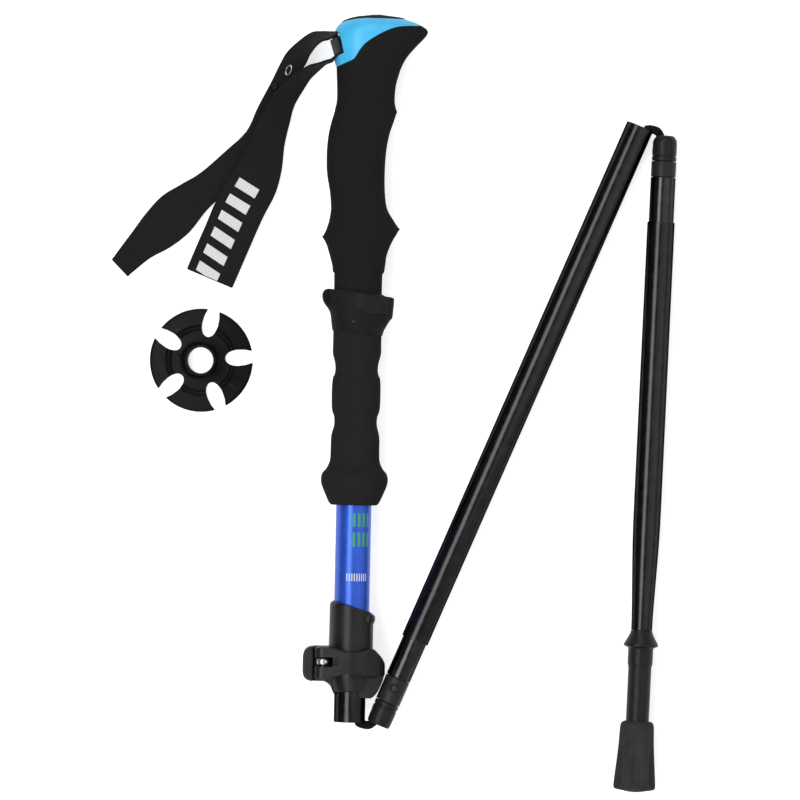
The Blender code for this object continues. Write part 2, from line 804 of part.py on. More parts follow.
def make_bolt(parent, looks):
    pivot = (BOLT_X, -PIVOT_FRONT, BOLT_Z)
    bolt = bore_tool("clamp_bolt", EYE_R, eye_end(pivot, -1), eye_end(pivot, 1), parent, 20)
    back = EAR_BACK + WASHER_THICK + NUT_HEIGHT + 2 * CLEAR + 1.0 * MM
    shank = bore_tool(
        "bolt_shank", BOLT_R, (BOLT_X, -PIVOT_FRONT + 2 * MM, BOLT_Z), (BOLT_X, back, BOLT_Z), parent
    )
    hole = bore_tool("eye_hole", PIN_R + CLEAR, eye_end(pivot, -2), eye_end(pivot, 2), parent)
    show(bolt, looks["steel"])
    combine(bolt, shank, "UNION")
    cut(bolt, hole)
    washer_from = EAR_BACK + CLEAR
    nut_from = washer_from + WASHER_THICK + CLEAR
    make_ring_on_bolt("clamp_washer", WASHER_R, washer_from, WASHER_THICK, 20, parent, looks["steel"])
    make_ring_on_bolt("clamp_nut", NUT_R, nut_from, NUT_HEIGHT, 6, parent, looks["steel"])


def eye_end(pivot, side):
    return (pivot[0], pivot[1], pivot[2] + side * EYE_WIDTH / 2)


def show(made, look):
    """Takes a solid out of the cutters and shows it."""
    CUTTERS.objects.unlink(made)
    PARTS.objects.link(made)
    made.hide_render = False
    made.display_type = "TEXTURED"
    made.data.materials.append(look)
    return made


def make_ring_on_bolt(name, radius, start, length, sides, parent, look):
    profile = (
        (radius, length),
        (radius, 0.0),
        (BOLT_R + CLEAR, 0.0),
        (BOLT_R + CLEAR, length),
    )
    made = turned(name, profile, parent, look, sides)
    made.rotation_euler = (-math.pi / 2, 0.0, 0.0)
    made.location = (BOLT_X, start, BOLT_Z)
    return made


def lever_outline():
    """The lever seen along the tube, as (x, y): a cam round its pin and an arm round the collar."""
    inner = CLAMP_R + 0.5 * MM
    outer = inner + LEVER_WALL
    arm_from, arm_to = 12.0, 112.0
    out = [arc_point(0.0, 0.0, inner, arm_from + (arm_to - arm_from) * i / 9) for i in range(10)]
    out += [arc_point(BOLT_X, PIVOT_FRONT, CAM_R, -50.0 - 220.0 * i / 12) for i in range(13)]
    out += [arc_point(0.0, 0.0, outer + 0.4 * MM, 108.0 - 84.0 * i / 8) for i in range(9)]
    out += in_mm(LEVER_LIP)
    return [(x - BOLT_X, PIVOT_FRONT - front) for x, front in out]


def arc_point(x, y, radius, degrees):
    turn = math.radians(degrees)
    return (x + radius * math.cos(turn), y + radius * math.sin(turn))


def make_lever(parent, looks):
    """The lever and its pin; their parent stands on the pin's axis, level with the bolt."""
    low = LEVER_BOTTOM - BOLT_Z
    high = LEVER_TOP - BOLT_Z
    lever = slab("clamp_lever", lever_outline(), low, high, parent, looks["black_plastic"])
    face = [(x * MM - BOLT_X, z * MM - BOLT_Z) for x, z in LEVER_FACE]
    front = hide(prism("lever_front", face, -CUT_REACH, CUT_REACH, parent, None, CUTTERS))
    combine(lever, front, "INTERSECT")
    room = EYE_WIDTH / 2 + 0.4 * MM
    slot_low = (-CUT_REACH, -CUT_REACH, -room)
    slot_high = (EYE_R + 1.6 * MM, PIVOT_FRONT, room)
    slot = block("lever_slot", slot_low, slot_high, parent, None, CUTTERS)
    hole = bore_tool("lever_hole", PIN_R + CLEAR, (0.0, 0.0, -CUT_REACH), (0.0, 0.0, CUT_REACH), parent)
    cut(lever, hide(slot), hole)
    rod("lever_pin", PIN_R, low + PIN_INSET, high - PIN_INSET, parent, looks["steel"], 16)


# Telescoping section


def make_inner_tube(parent, looks):
    tube = pipe(
        "inner_tube", INNER_TUBE_R, INNER_BORE_R, 0.0, INNER_TUBE_LENGTH, parent, looks["black_metal"]
    )
    lock_at = MIDDLE_DEPTH - BUTTON_AT
    start = (0.0, -SOCKET_BORE_R / 2, lock_at)
    hole = bore_tool("lock_hole", BUTTON_R + CLEAR, start, (0.0, -CUT_REACH, lock_at), parent)
    cut(tube, hole)
    floor = SOCKET_DEPTH + SOCKET_FLOOR
    socket = (
        (SOCKET_R, floor),
        (SOCKET_R, CLEAR),
        (SOCKET_BORE_R, CLEAR),
        (SOCKET_BORE_R, SOCKET_DEPTH),
        (CABLE_R + CLEAR, SOCKET_DEPTH),
        (CABLE_R + CLEAR, floor),
    )
    bush = turned("inner_socket", socket, parent, looks["black_plastic"])
    cut(bush, hole)
    make_guide_bush(parent, looks)
    make_cable_end(floor, parent, looks)


def make_guide_bush(parent, looks):
    top = INNER_TUBE_LENGTH + CLEAR
    head_r = UPPER_BORE_R - CLEAR
    stem_r = INNER_BORE_R - CLEAR
    profile = (
        (head_r, top + BUSH_HEAD),
        (head_r, top),
        (stem_r, top),
        (stem_r, top - BUSH_STEM),
        (stem_r - BUSH_WALL, top - BUSH_STEM),
        (stem_r - BUSH_WALL, top + BUSH_HEAD),
    )
    turned("guide_bush", profile, parent, looks["white_plastic"])


def make_cable_end(floor, parent, looks):
    spring_from = floor + SPRING_WIRE_R + CLEAR
    coil = helix(SPRING_TURNS, SPRING_COIL_R, SPRING_LENGTH, 8, spring_from)
    wire("tension_spring", coil, SPRING_WIRE_R, parent, looks["steel"], 0)
    anchor = spring_from + SPRING_LENGTH + SPRING_WIRE_R + CLEAR
    top = anchor + ANCHOR_HEIGHT
    pipe("cable_anchor", SOCKET_R, CABLE_R + CLEAR, anchor, top, parent, looks["white_plastic"])
    crimp = top + CLEAR
    pipe("upper_crimp", CRIMP_R, CABLE_R + CLEAR, crimp, crimp + CRIMP_LENGTH, parent, looks["steel"], 16)
    cable_from = LINK_DEPTH + CLEAR
    rod("upper_cable", CABLE_R, cable_from, crimp + CRIMP_LENGTH + 2 * MM, parent, looks["cable"], 12)


def link_route(mouth, out, side, radius, tip, way, beside):
    """The cable's bend from a tube's mouth, over its rim and through the slot in a plug's side."""
    return (
        mouth - LINK_DEPTH * out,
        mouth - 2.6 * MM * out + 0.7 * MM * side,
        mouth + 0.7 * MM * out + (radius - 3.6 * MM) * side,
        mouth + 1.75 * MM * out + (radius - 0.2 * MM) * side,
        tip - 1.6 * MM * way + 3.6 * MM * beside,
        tip + 1.1 * MM * way + 1.6 * MM * beside,
        tip + (LINK_REACH - 1.5 * MM) * way,
        tip + LINK_REACH * way,
    )


def make_link_a(parent, looks):
    mouth = Vector((0.0, 0.0, 0.0))
    out = Vector((0.0, -1.0, 0.0))
    side = Vector((1.0, 0.0, 0.0))
    beside = -across(FOLD_A_REST)
    route = link_route(mouth, out, side, INNER_TUBE_R, MIDDLE_TIP, MIDDLE_WAY, beside)
    wire("link_cable_a", smooth_line(route, 3), LINK_R, parent, looks["cable"])


def make_link_b(parent, looks):
    side = across(FOLD_A_REST)
    beside = across(LOWER_HEADING)
    route = link_route(MIDDLE_MOUTH, MIDDLE_WAY, side, MAIN_R, LOWER_TIP, LOWER_WAY, beside)
    route = [spot - PIVOT_A for spot in route]
    wire("link_cable_b", smooth_line(route, 3), LINK_R, parent, looks["cable"])


def make_carrier(name, crimp_name, parent, looks):
    """The straight cable inside a folded section, and the crimp that ends it."""
    end = CARRIER_CABLE + CRIMP_LENGTH + 2 * MM
    rod(name, CABLE_R, LINK_REACH + CLEAR, end, parent, looks["cable"], 12)
    start = CARRIER_CABLE
    pipe(crimp_name, CRIMP_R, CABLE_R + CLEAR, start, start + CRIMP_LENGTH, parent, looks["steel"], 16)


# Middle and lower sections


def make_plug(prefix, tip, collar, length, tip_top_r, slot_side, parent, looks):
    """A plastic plug tip, slotted on one side for the cable, and a collar on a metal ferrule."""
    spigot_r = 4.2 * MM
    spigot_to = tip + 4.6 * MM
    rim = 1.2 * MM
    tip_profile = (
        (spigot_r, spigot_to),
        (spigot_r, tip),
        (PLUG_R, tip),
        (PLUG_R, 2.4 * MM),
        (PLUG_R - (PLUG_R - tip_top_r) * 0.35, rim),
        (tip_top_r, 0.0),
        (CABLE_BORE_R, 0.0),
        (CABLE_BORE_R, spigot_to),
    )
    plug = turned(prefix + "_plug", tip_profile, parent, looks["black_plastic"])
    half = PLUG_SLOT_HALF
    far = slot_side * CUT_REACH
    low = (min(0.0, far), -half, -CUT_REACH)
    high = (max(0.0, far), half, PLUG_SLOT_DEPTH)
    cut(plug, hide(block(prefix + "_slot", low, high, parent, None, CUTTERS)))
    foot = tip + CLEAR
    head = foot + collar
    neck_r = FERRULE_R - FERRULE_WALL - CLEAR
    collar_r = FERRULE_R + 0.05 * MM
    collar_profile = (
        (neck_r, head + 7.0 * MM),
        (neck_r, head),
        (collar_r, head),
        (collar_r, foot),
        (spigot_r + CLEAR, foot),
        (spigot_r + CLEAR, spigot_to + CLEAR),
        (CABLE_BORE_R, spigot_to + CLEAR),
        (CABLE_BORE_R, head + 7.0 * MM),
    )
    made = turned(prefix + "_collar", collar_profile, parent, looks["grey_plastic"])
    pipe(
        prefix + "_ferrule",
        FERRULE_R,
        FERRULE_R - FERRULE_WALL,
        head + CLEAR,
        length + FERRULE_GRIP,
        parent,
        looks["black_metal"],
    )
    return made


def make_middle(parent, looks):
    collar = make_plug("middle", PLUG_TIP, PLUG_COLLAR, MIDDLE_PLUG, 5.3 * MM, -1, parent, looks)
    well = bore_tool(
        "button_well",
        BUTTON_R + CLEAR,
        (0.0, -BUTTON_FLOOR, BUTTON_AT),
        (0.0, -CUT_REACH, BUTTON_AT),
        parent,
    )
    cut(collar, well)
    pipe("middle_tube", MAIN_R, MAIN_BORE_R, MIDDLE_PLUG, MIDDLE_LENGTH, parent, looks["black_metal"])
    end = MIDDLE_LENGTH - LINK_DEPTH - CLEAR
    rod("middle_cable", CABLE_R, FIXED_CABLE_FROM, end, parent, looks["cable"], 12)
    start = FIXED_CABLE_FROM + 3 * MM
    pipe("middle_crimp", CRIMP_R, CABLE_R + CLEAR, start, start + CRIMP_LENGTH, parent, looks["steel"], 16)


def make_button(parent, spring_parent, looks):
    foot = PLUG_R + BUTTON_PROUD - BUTTON_LENGTH
    dome = 0.5 * MM
    profile = (
        (0.0, BUTTON_LENGTH),
        (BUTTON_R - dome, BUTTON_LENGTH),
        (BUTTON_R, BUTTON_LENGTH - dome),
        (BUTTON_R, 0.0),
        (0.0, 0.0),
    )
    made = turned("lock_button", profile, parent, looks["steel"], 16)
    made.rotation_euler = (math.pi / 2, 0.0, 0.0)
    made.location = (0.0, -foot, 0.0)
    wire_r = 0.2 * MM
    length = foot - BUTTON_FLOOR - 2 * (wire_r + 0.12 * MM)
    coil = helix(BUTTON_SPRING_TURNS, BUTTON_R - 0.5 * MM, length, 8)
    spring = wire("button_spring", coil, wire_r, spring_parent, looks["steel"], 1)
    spring.rotation_euler = (math.pi / 2, 0.0, 0.0)
    spring.location = (0.0, -BUTTON_FLOOR - wire_r - 0.12 * MM, BUTTON_AT)


def make_lower(parent, looks):
    make_plug("lower", LOWER_PLUG_TIP, LOWER_PLUG_COLLAR, LOWER_PLUG, 4.6 * MM, 1, parent, looks)
    bore = MAIN_BORE_R
    end_bore = LOWER_END_R - MAIN_WALL
    profile = (
        (LOWER_END_R, FLANGE_FROM - CLEAR),
        (LOWER_END_R, LOWER_TAPER_TO),
        (LOWER_R, LOWER_TAPER_FROM),
        (LOWER_R, LOWER_PLUG),
        (bore, LOWER_PLUG),
        (bore, LOWER_TAPER_FROM),
        (end_bore, LOWER_TAPER_TO),
        (end_bore, FLANGE_FROM - CLEAR),
    )
    turned("lower_tube", profile, parent, looks["black_metal"])
    make_holder(end_bore, parent, looks)


def make_holder(bore, parent, looks):
    stem = bore - CLEAR
    spike_bore = SPIKE_R + CLEAR
    profile = (
        (0.0, HOLDER_END - 9.0 * MM),
        (spike_bore, HOLDER_END - 9.0 * MM),
        (spike_bore, HOLDER_END),
        (HOLDER_R - 1.0 * MM, HOLDER_END),
        (HOLDER_R, HOLDER_END - 4.0 * MM),
        (HOLDER_R, HOLDER_COLLAR_TO),
        (HOLDER_COLLAR_R, HOLDER_COLLAR_TO - 0.6 * MM),
        (HOLDER_COLLAR_R, FLANGE_TO + 1.2 * MM),
        (FLANGE_R, FLANGE_TO),
        (FLANGE_R - 0.5 * MM, FLANGE_TO - 1.6 * MM),
        (LOWER_END_R + 0.5 * MM, FLANGE_FROM),
        (stem, FLANGE_FROM),
        (stem, FLANGE_FROM - 18.0 * MM),
        (0.0, FLANGE_FROM - 18.0 * MM),
    )
    turned("tip_holder", profile, parent, looks["black_plastic"])
    start = HOLDER_END - 9.0 * MM + CLEAR
    end = start + 9.0 * MM + SPIKE_LENGTH - CLEAR
    spike = (
        (0.0, end),
        (0.9 * MM, end),
        (SPIKE_R, end - 3.0 * MM),
        (SPIKE_R, start),
        (0.0, start),
    )
    turned("carbide_tip", spike, parent, looks["steel"], 16)


def boot_ring(z, radius, depth):
    """A fluted round: flats between ribs, deeper with depth."""
    out = []
    for i in range(BOOT_FLUTES * 4):
        turn = 2 * math.pi * i / (BOOT_FLUTES * 4)
        wave = 0.5 - 0.5 * math.cos(BOOT_FLUTES * turn)
        r = radius - depth * wave
        out.append((r * math.cos(turn), r * math.sin(turn), z))
    return out


def make_boot(parent, looks):
    """The rubber boot, whose ribs swell towards the sole; z runs from the basket side down."""
    top_r, sole_r = BOOT_TOP_R, BOOT_SOLE_R
    length = BOOT_TO - BOOT_FROM
    bore = HOLDER_R + CLEAR
    deep = HOLDER_END + SPIKE_LENGTH + 1.0 * MM
    outer = (
        (BOOT_FROM, top_r - 1.4 * MM, 0.0),
        (BOOT_FROM + 1.4 * MM, top_r - 0.2 * MM, 0.2 * MM),
        (BOOT_FROM + 0.3 * length, top_r + 0.2 * MM, BOOT_FLUTE_DEPTH),
        (BOOT_FROM + 0.75 * length, sole_r - 0.5 * MM, BOOT_FLUTE_DEPTH),
        (BOOT_TO - 2.2 * MM, sole_r, 0.5 * MM),
        (BOOT_TO, sole_r - 1.2 * MM, 0.2 * MM),
    )
    inner = (
        (deep, SPIKE_R + CLEAR),
        (HOLDER_END + CLEAR, SPIKE_R + CLEAR),
        (HOLDER_END + CLEAR, bore),
        (BOOT_FROM, bore),
    )
    shape = bmesh.new()
    rings = [[shape.verts.new(p) for p in boot_ring(*row)] for row in outer]
    wells = [[shape.verts.new(p) for p in boot_ring(z, r, 0.0)] for z, r in inner]
    for low, high in zip(rings, rings[1:]):
        bridge(shape, low, high)
    shape.faces.new(rings[-1])
    shape.faces.new(wells[0])
    for low, high in zip(wells, wells[1:]):
        bridge(shape, low, high)
    bridge(shape, wells[-1], rings[0])
    bmesh.ops.recalc_face_normals(shape, faces=shape.faces)
    from_bmesh("tip_boot", shape, parent, looks["black_rubber"])


# Strap and basket


def ribbon(name, rows, parent, look):
    """A webbing strip. Each row is a centre, a direction across and a half width."""
    shape = bmesh.new()
    pairs = []
    for centre, side, half in rows:
        a = shape.verts.new(centre - side * half)
        b = shape.verts.new(centre + side * half)
        pairs.append((a, b))
    for (a, b), (c, d) in zip(pairs, pairs[1:]):
        shape.faces.new((a, b, d, c))
    made = from_bmesh(name, shape, parent, look)
    thick = made.modifiers.new("webbing", "SOLIDIFY")
    thick.thickness = WEBBING
    thick.offset = 0.0
    thick.use_even_offset = False
    return made


def strap_rows(run):
    """Rows of a free strap run, whose twist runs from edge-on at the head to flat on the ground."""
    spots = []
    for x, y, half, lift, twist in run:
        z = ground_height(x * MM, UPPER_GRIP_TOP + y * MM) + lift * MM
        spots.append((Vector((x * MM, y * MM, z)), half * MM, math.radians(twist)))
    rows = []
    for i, (centre, half, twist) in enumerate(spots):
        before = spots[max(i - 1, 0)][0]
        after = spots[min(i + 1, len(spots) - 1)][0]
        along = (after - before).normalized()
        flat = along.cross(UP).normalized()
        rows.append((centre, flat * math.cos(twist) + UP * math.sin(twist), half))
    return rows


def return_rows(rows, drop, count):
    """A hairpin at the end of a run and the webbing back underneath it."""
    centre, side, half = rows[-1]
    along = (centre - rows[-2][0]).normalized()
    radius = drop / 2
    out = []
    for i in range(1, 5):
        turn = math.pi * i / 5
        spot = centre + along * radius * math.sin(turn) * 1.1 - UP * radius * (1 - math.cos(turn))
        out.append((spot, side, half))
    for spot, across_it, wide in rows[-1 : -1 - count : -1]:
        out.append((spot - UP * drop, across_it, wide - STRAP_FOLD_STEP))
    return out


def wedge_wrap():
    """The webbing round the wedge's top, inner side and foot, edge-on in the head's notch."""
    outer_top, inner_top, inner_foot, outer_foot = in_mm(WEDGE)
    off = WEBBING / 2 + NOTCH_ROOM
    half = WEDGE_HALF_DEPTH
    spots = (
        (outer_foot[0] - 3.0 * MM, outer_foot[1] - off - 1.0 * MM),
        (outer_foot[0], outer_foot[1] - off),
        (inner_foot[0] + off * 0.3, inner_foot[1] - off),
        (inner_foot[0] + off, inner_foot[1] + 0.2 * MM),
        (inner_top[0] + off, inner_top[1] - 0.2 * MM),
        (inner_top[0] - 0.2 * MM, inner_top[1] + off),
        (outer_top[0], outer_top[1] + off),
        (outer_top[0] - 3.0 * MM, outer_top[1] + off - 0.6 * MM),
    )
    return [(Vector((x, y, 0.0)), UP, half) for x, y in spots]


def about_wedge(rows):
    """Rows of a ribbon seen from the middle of the wedge, where the strap's frame stands."""
    return [(centre - WEDGE_MIDDLE.to_3d(), side, half) for centre, side, half in rows]


def make_strap(parent, looks):
    front = strap_rows(FRONT_RUN)
    front_rows = wedge_wrap() + front + return_rows(front, STRAP_DROP, 4)
    ribbon("strap_front", about_wedge(front_rows), parent, looks["webbing"])
    back = strap_rows(BACK_RUN)
    back_rows = back + return_rows(back, STRAP_DROP, 5)
    ribbon("strap_back", about_wedge(back_rows), parent, looks["webbing"])


def make_basket(parent, looks):
    bore = HOLDER_COLLAR_R + CLEAR
    thick = BASKET_THICK
    rise = BASKET_STEP_RISE
    step = BASKET_STEP_R
    profile = (
        (BASKET_HUB_R, BASKET_HUB_HEIGHT),
        (BASKET_HUB_R + 0.5 * MM, thick + rise + 0.4 * MM),
        (step, thick + rise),
        (step + 1.0 * MM, thick),
        (BASKET_R - 0.6 * MM, thick),
        (BASKET_R, thick - 0.6 * MM),
        (BASKET_R, 0.0),
        (bore, 0.0),
        (bore, BASKET_HUB_HEIGHT),
    )
    disc = turned("basket", profile, parent, looks["black_plastic"], 40)
    for i in range(BASKET_SLOTS):
        turn = math.radians(BASKET_SLOT_FIRST + 360.0 * i / BASKET_SLOTS)
        slot = hide(slab("basket_slot_%d" % i, slot_outline(), -5 * MM, 12 * MM, parent, None, CUTTERS))
        slot.rotation_euler = (0.0, 0.0, turn)
        cut(disc, slot)


def slot_outline():
    """A petal-shaped slot along +X, pointed at its inner end and open at the rim."""
    start, end = BASKET_SLOT_INNER, BASKET_R + 3 * MM
    wide = start + 0.55 * (BASKET_R - start)
    upper = []
    for i in range(7):
        part = i / 6
        x = start + (wide - start) * part
        upper.append((x, BASKET_SLOT_HALF * math.sqrt(part) * (1.0 - 0.12 * (1 - part))))
    upper.append((BASKET_R - 2 * MM, BASKET_SLOT_MOUTH + 0.35 * MM))
    upper.append((end, BASKET_SLOT_MOUTH - 0.4 * MM))
    lower = [(x, -y) for x, y in reversed(upper[1:])]
    return upper + lower


def make_rivet(parent, looks):
    rows = about_wedge(strap_rows(FRONT_RUN))
    centre, side = rows[3][:2]
    rivet = turned(
        "strap_rivet",
        (
            (0.0, RIVET_HEIGHT),
            (RIVET_R * 0.6, RIVET_HEIGHT),
            (RIVET_R, RIVET_HEIGHT * 0.4),
            (RIVET_R, 0.0),
            (0.0, 0.0),
        ),
        parent,
        looks["steel"],
        16,
    )
    along = (rows[4][0] - rows[2][0]).normalized()
    up = side.cross(along).normalized()
    if up.z < 0:
        up = -up
    rivet.rotation_euler = up.to_track_quat("Z", "Y").to_euler()
    rivet.location = centre + up * (WEBBING / 2 + CLEAR)
    return rivet


# Assembly


def make_looks():
    return {
        "blue_metal": material("blue_metal", (0.03, 0.12, 0.62), 0.28, 1.0),
        "black_metal": material("black_metal", (0.02, 0.02, 0.022), 0.32, 1.0),
        "steel": material("steel", (0.62, 0.62, 0.6), 0.25, 1.0),
        "foam": material("foam", (0.013, 0.013, 0.014), 0.9),
        "black_plastic": material("black_plastic", (0.02, 0.02, 0.021), 0.5),
        "grey_plastic": material("grey_plastic", (0.06, 0.06, 0.062), 0.45),
        "white_plastic": material("white_plastic", (0.7, 0.7, 0.68), 0.45),
        "black_rubber": material("black_rubber", (0.03, 0.03, 0.031), 0.75),
        "cap_blue": material("cap_blue", (0.07, 0.42, 0.82), 0.3),
        "cable": material("cable", (0.03, 0.03, 0.03), 0.45),
        "webbing": material("webbing", (0.012, 0.012, 0.013), 0.85),
    }


def section_frame(name, parent, spot, degrees):
    """A frame at spot, in the plane of the pole, whose Z runs along a heading."""
    return empty(name, parent, spot, (-math.pi / 2, 0.0, -math.radians(degrees)))


def assemble():
    looks = make_looks()
    root = empty("pole", None, (0.0, 0.0, 0.0))
    root.rotation_mode = "QUATERNION"
    root.rotation_quaternion = root_turn()
    handle = section_frame("handle_axis", root, (0.0, 0.0, 0.0), 0.0)
    make_upper_tube(handle, looks)
    make_lower_grip(handle, looks)
    make_upper_grip(handle, looks)
    head = empty("head_axis", handle, (0.0, 0.0, UPPER_GRIP_TOP))
    make_head(head, looks)
    make_band(handle, looks)
    make_clamp(handle, looks)
    make_bolt(handle, looks)
    make_lever(empty("lever_axis", handle, (BOLT_X, -PIVOT_FRONT, BOLT_Z)), looks)
    inner = section_frame("inner_axis", root, (0.0, 0.0, 0.0), 0.0)
    make_inner_tube(inner, looks)
    make_link_a(root, looks)
    fold_a = empty("fold_a", root, PIVOT_A)
    carrier_a = section_frame("carrier_a_axis", fold_a, MIDDLE_TIP - PIVOT_A, FOLD_A_REST)
    make_carrier("cable_a", "crimp_a", carrier_a, looks)
    middle = section_frame("middle_axis", fold_a, MIDDLE_TIP - PIVOT_A, FOLD_A_REST)
    make_middle(middle, looks)
    button = empty("button_axis", middle, (0.0, 0.0, BUTTON_AT))
    make_button(button, middle, looks)
    make_link_b(fold_a, looks)
    fold_b = empty("fold_b", root, PIVOT_B)
    carrier_b = section_frame("carrier_b_axis", fold_b, LOWER_TIP - PIVOT_B, LOWER_HEADING)
    make_carrier("cable_b", "crimp_b", carrier_b, looks)
    lower = section_frame("lower_axis", fold_b, LOWER_TIP - PIVOT_B, LOWER_HEADING)
    make_lower(lower, looks)
    make_boot(lower, looks)
    make_wedge(empty("wedge_axis", head, (WEDGE_MIDDLE.x, 0.0, WEDGE_MIDDLE.y)), looks)
    strap_spot = (WEDGE_MIDDLE.x, UPPER_GRIP_TOP + WEDGE_MIDDLE.y, 0.0)
    strap_pivot = empty("strap_axis", root, strap_spot)
    make_strap(strap_pivot, looks)
    make_rivet(strap_pivot, looks)
    spot = empty("basket_axis", None, basket_spot(root))
    make_basket(spot, looks)
    settle(root, spot)


def basket_spot(root):
    """The basket's place on the ground, under its place in the pole's plane."""
    inside = Vector((BASKET_X, BASKET_Y, ground_height(BASKET_X, BASKET_Y)))
    return root_turn() @ inside


def settle(root, basket):
    """Moves everything so that the whole stands on Z = 0 with its box centred on the origin."""
    low, high = reach(None)
    ground_level = low.z
    basket_low, _ = reach("basket")
    shift = Vector((-(low.x + high.x) / 2, -(low.y + high.y) / 2, -ground_level))
    root.location = shift
    basket.location += Vector((shift.x, shift.y, -basket_low.z))


def reach(only):
    """The lowest and highest corners of the parts as the viewport evaluates them."""
    bpy.context.view_layer.update()
    graph = bpy.context.evaluated_depsgraph_get()
    low = Vector((1e9, 1e9, 1e9))
    high = -low
    for item in PARTS.objects:
        if item.type == "EMPTY" or (only and item.name != only):
            continue
        shown = item.evaluated_get(graph)
        mesh = shown.to_mesh()
        for vertex in mesh.vertices:
            spot = shown.matrix_world @ vertex.co
            low = Vector(map(min, low, spot))
            high = Vector(map(max, high, spot))
        shown.to_mesh_clear()
    return low, high


clear_scene()
PARTS = collection("trail_running_pole")
CUTTERS = collection("cutters")
assemble()
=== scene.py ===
"""The looks of a folding trail running pole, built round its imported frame.

Shapes are written in millimetres in the frame of the section they belong to: Z runs along the
section, X across it and -Y faces up, away from the ground. Each piece ends in the row's metres.
"""

import json
import math

import bmesh
import bpy
from mathutils import Matrix, Vector


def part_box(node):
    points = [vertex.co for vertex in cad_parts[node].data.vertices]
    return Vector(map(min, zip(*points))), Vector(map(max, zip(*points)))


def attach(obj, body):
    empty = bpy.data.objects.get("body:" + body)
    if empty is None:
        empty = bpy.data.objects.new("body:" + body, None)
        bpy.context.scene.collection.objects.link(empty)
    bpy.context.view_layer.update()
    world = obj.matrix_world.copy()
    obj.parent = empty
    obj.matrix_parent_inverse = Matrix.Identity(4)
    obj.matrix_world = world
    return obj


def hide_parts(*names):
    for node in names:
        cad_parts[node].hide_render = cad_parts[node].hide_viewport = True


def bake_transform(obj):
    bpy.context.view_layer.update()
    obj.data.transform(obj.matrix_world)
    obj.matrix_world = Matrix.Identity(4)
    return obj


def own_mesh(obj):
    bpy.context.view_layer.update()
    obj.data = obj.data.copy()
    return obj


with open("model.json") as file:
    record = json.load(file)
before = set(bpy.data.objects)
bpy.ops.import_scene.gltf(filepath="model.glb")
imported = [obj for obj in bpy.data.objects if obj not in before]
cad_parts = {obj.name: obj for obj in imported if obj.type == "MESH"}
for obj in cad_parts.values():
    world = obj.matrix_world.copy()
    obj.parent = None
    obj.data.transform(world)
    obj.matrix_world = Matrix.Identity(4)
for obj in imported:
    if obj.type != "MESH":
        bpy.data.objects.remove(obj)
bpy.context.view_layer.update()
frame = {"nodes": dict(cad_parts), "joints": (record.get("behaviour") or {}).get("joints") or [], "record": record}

MM = 0.001
SIDES = 96
GRIP_SIDES = 112

# Sizes that the pieces share with the CAD model
CLEAR = 0.3
GRIP_TOP = 333.0
JOINT_TOP = 210.0
GRIP_BORE = 9.3
MAIN_R, MAIN_BORE = 7.1, 6.45
FERRULE_R = 6.35
PLUG_R = 6.25
# Each tube's outer and inner radius, lower end and upper end
UPPER_TUBE = (9.0, 8.3, 39.3, 326.0)
INNER_TUBE = (8.0, 7.2, 0.0, 290.0)
MIDDLE_TUBE = (MAIN_R, MAIN_BORE, 47.0, 333.0)
# The spring button's height over the plug's foot, how deep the plug goes in, and its hole
BUTTON_HEIGHT = 20.6
PLUG_DEPTH = 46.4
BUTTON_HOLE_R = 2.2

# Frames of the sections

ORIGIN = Vector((0.0, 0.0, 0.0))
RIGHT = Vector((1.0, 0.0, 0.0))
UPRIGHT = Vector((0.0, 0.0, 1.0))
JOINTS = {joint["name"]: joint for joint in frame["joints"]}


def way(joint):
    return Vector(JOINTS[joint]["axis"]).normalized()


def frame_at(spot, right, up, back):
    """A placement from three directions, as columns, and a spot in metres."""
    made = Matrix((right, up, back)).transposed().to_4x4()
    made.translation = spot
    return made


def heading(degrees):
    """The direction along a section and the one to its right, in the pole's plane."""
    across, along = math.sin(math.radians(degrees)), math.cos(math.radians(degrees))
    return Vector((across, along, 0.0)), Vector((along, -across, 0.0))


def section(start, degrees):
    """The frame of a section that starts in the pole's plane and runs along a heading."""
    along, right = heading(degrees)
    return POLE @ frame_at(start * MM, right, -UPRIGHT, along)


def shifted(place, x, y, z):
    return place @ Matrix.Translation(Vector((x, y, z)) * MM)


def facing(place, x, y, z, sign=1):
    """A placement at a spot of a section whose Z faces up from it, or down for sign -1."""
    return shifted(place, x, y, z) @ Matrix.Rotation(sign * math.pi / 2, 4, "X")


POLE_UP = -way("fold_a")
POLE_ALONG = -way("telescope")
POLE_RIGHT = POLE_ALONG.cross(POLE_UP)
POLE = frame_at(Vector(JOINTS["swivel"]["pos_m"]), POLE_RIGHT, POLE_ALONG, POLE_UP)
MIDDLE_START, MIDDLE_HEADING = Vector((14.5131, -1.0, 0.0)), 22.5
LOWER_START, LOWER_HEADING = Vector((154.8628, 302.2348, 0.0)), 181.54
HANDLE = section(ORIGIN, 0.0)
MIDDLE = section(MIDDLE_START, MIDDLE_HEADING)
LOWER = section(LOWER_START, LOWER_HEADING)
basket_low, basket_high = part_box("basket")
BASKET = Matrix.Translation(((basket_low + basket_high) / 2).xy.to_3d())


# Camera, floor and light


def linked(name, data):
    made = bpy.data.objects.new(name, data)
    bpy.context.scene.collection.objects.link(made)
    return made


def make_camera():
    """Looks straight down on the pole's plane, turned as the photograph is."""
    roll, distance, view_width = 0.02077, 3.2, 0.408
    data = bpy.data.cameras.new("camera")
    data.sensor_width = 36.0
    data.lens = data.sensor_width * distance / view_width
    data.clip_end = 20.0
    made = linked("camera", data)
    right = (POLE_RIGHT + roll * POLE_ALONG).normalized()
    up = (POLE_ALONG - roll * POLE_RIGHT).normalized()
    centre = POLE @ (Vector((22.44, 164.72, 0.0)) * MM)
    made.matrix_world = frame_at(centre + POLE_UP * distance, right, up, POLE_UP)
    bpy.context.scene.camera = made


